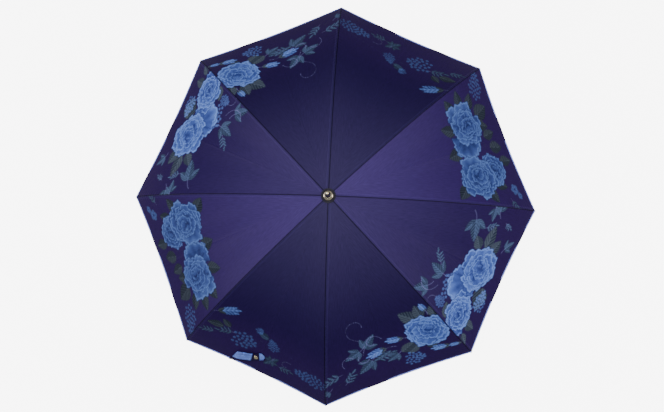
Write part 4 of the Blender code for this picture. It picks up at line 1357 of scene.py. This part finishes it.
class UMBRELLA_OT_finishes(bpy.types.Operator):
    """Gives the frame's own pieces their finishes"""

    bl_idname = "umbrella.finishes"
    bl_label = "Frame finishes"

    def execute(self, context):
        metal = context.scene.umbrella_metal
        tube = nickel_plate("drawn_nickel_tube", metal, 0.15, (1.0, 1.0, 0.01))
        spring = nickel_plate("spring_steel", metal, 0.1)
        wire = nickel_plate("tie_wire", metal, 0.4)
        nylon, rods, steel = moulded_nylon(metal), glass_fibre(metal), black_lacquer(metal)
        finishes = {
            "shaft": tube, "handle_collar": tube, "notch": nylon, "runner": nylon, "rib_tip": nylon,
            "notch_wire": wire, "runner_wire": wire, "top_spring": spring, "bottom_spring": spring,
            "outer_rib": rods, "rib": steel, "stretcher": steel,
        }
        for name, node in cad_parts.items():
            kind = name.rstrip("0123456789").rstrip("_")
            if kind in finishes:
                node.data.materials.clear()
                node.data.materials.append(finishes[kind])
        return {"FINISHED"}


class UMBRELLA_OT_stage(bpy.types.Operator):
    """Makes the pale floor, the soft lights and the camera"""

    bl_idname = "umbrella.stage"
    bl_label = "Stage"
    lit = (0, 0, 0.5)

    def execute(self, context):
        stage = context.scene.umbrella_stage
        self.floor(stage)
        self.lights(stage)
        self.camera(context.scene, stage)
        return {"FINISHED"}

    def floor(self, stage):
        """A light table. It is clear from beneath, and lights nothing but the view."""
        shape = bmesh.new()
        bmesh.ops.create_grid(shape, x_segments=1, y_segments=1, size=9.0)
        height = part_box("handle")[0].z - stage.floor_drop
        bmesh.ops.translate(shape, verts=shape.verts, vec=(0, 0, height))
        mesh = finished(shape, "floor")
        material, tree, shader = new_material(
            "backlit_opal_acrylic", Roughness=0.7, IOR=1.49, Emission_Strength=stage.floor_glow
        )
        shader.inputs["Emission Color"].default_value = rgba("#ffffff")
        grain = noise(tree, object_place(tree), 60.0, 2.0)
        colour = mixed(tree, grain, rgba("#f6f6f6"), rgba("#fbfbfb"))
        tree.links.new(colour, shader.inputs["Base Color"])
        beneath = add_node(tree, "ShaderNodeNewGeometry").outputs["Backfacing"]
        clear = add_node(tree, "ShaderNodeBsdfTransparent").outputs[0]
        seen = add_node(tree, "ShaderNodeMixShader", {0: beneath, 1: shader.outputs[0], 2: clear})
        tree.links.new(seen.outputs[0], tree.nodes["Material Output"].inputs["Surface"])
        floor = bpy.data.objects.new("floor", mesh)
        floor.visible_diffuse = False
        floor.visible_glossy = False
        mesh.materials.append(material)
        bpy.context.scene.collection.objects.link(floor)

    def area_light(self, name, place, size, power, colour):
        """A soft box that faces the canopy's middle."""
        light = bpy.data.lights.new(name, "AREA")
        light.shape = "RECTANGLE"
        light.size, light.size_y = size
        light.energy = power
        light.color = linear(colour)
        holder = bpy.data.objects.new(name, light)
        holder.location = place
        towards = Vector(self.lit) - Vector(place)
        holder.rotation_euler = towards.to_track_quat("-Z", "Y").to_euler()
        bpy.context.scene.collection.objects.link(holder)

    def lights(self, stage):
        for name, x in (("left_light", -2.8), ("right_light", 2.8)):
            self.area_light(name, (x, 0, 1.7), (1.6, 2.4), stage.key_power, "#fff6fb")
        self.area_light("top_light", (0, 0, 3.6), (1.2, 1.2), stage.fill_power, "#f4f6ff")
        world = bpy.data.worlds.new("room")
        bpy.context.scene.world = world
        world.use_nodes = True
        sky = world.node_tree.nodes["Background"]
        sky.inputs["Color"].default_value = (1.0, 1.0, 1.0, 1.0)
        seen = add_node(world.node_tree, "ShaderNodeLightPath").outputs["Is Camera Ray"]
        strength = maths(world.node_tree, "MULTIPLY_ADD", seen, stage.floor_glow, stage.room)
        world.node_tree.links.new(strength, sky.inputs["Strength"])

    def camera(self, scene, stage):
        rim = Vector((0, 0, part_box("canopy_lower_1")[0].z))
        back = Vector((stage.lean_x, stage.lean_y, 0))
        back.z = math.sqrt(1 - back.length_squared)
        right = Vector((0, 1, 0)).cross(back).normalized()
        up = back.cross(right)
        turned_right = right * math.cos(-stage.roll) + up * math.sin(-stage.roll)
        turned_up = back.cross(turned_right)
        lens = bpy.data.cameras.new("camera")
        lens.lens = stage.lens
        lens.sensor_width = 36.0
        lens.clip_end = 50.0
        holder = bpy.data.objects.new("camera", lens)
        place = rim + back * stage.distance - turned_right * stage.aside - turned_up * stage.down
        axes = Matrix((turned_right, turned_up, back)).transposed().to_4x4()
        holder.matrix_world = Matrix.Translation(place) @ axes
        scene.collection.objects.link(holder)
        scene.camera = holder


OPERATORS = (
    UMBRELLA_OT_canopy,
    UMBRELLA_OT_rosette,
    UMBRELLA_OT_point,
    UMBRELLA_OT_strap,
    UMBRELLA_OT_fittings,
    UMBRELLA_OT_handle,
    UMBRELLA_OT_finishes,
    UMBRELLA_OT_stage,
)


class UMBRELLA_PT_panel(bpy.types.Panel):
    """Lists the umbrella's steps, with their sizes and colours"""

    bl_label = "Stick umbrella"
    bl_space_type = "VIEW_3D"
    bl_region_type = "UI"
    bl_category = "Umbrella"

    def draw(self, context):
        for step in OPERATORS:
            self.layout.operator(step.bl_idname)
        for name, group in PROPERTY_GROUPS.items():
            box = self.layout.box()
            for field in group.__annotations__:
                box.prop(getattr(context.scene, name), field)


def register():
    for name, group in PROPERTY_GROUPS.items():
        bpy.utils.register_class(group)
        setattr(bpy.types.Scene, name, PointerProperty(type=group))
    for made in (*OPERATORS, UMBRELLA_PT_panel):
        bpy.utils.register_class(made)


def unregister():
    for made in (UMBRELLA_PT_panel, *reversed(OPERATORS)):
        bpy.utils.unregister_class(made)
    for name, group in PROPERTY_GROUPS.items():
        delattr(bpy.types.Scene, name)
        bpy.utils.unregister_class(group)


def main():
    register()
    for step in OPERATORS:
        group, name = step.bl_idname.split(".")
        getattr(getattr(bpy.ops, group), name)()


if __name__ == "__main__":
    main()
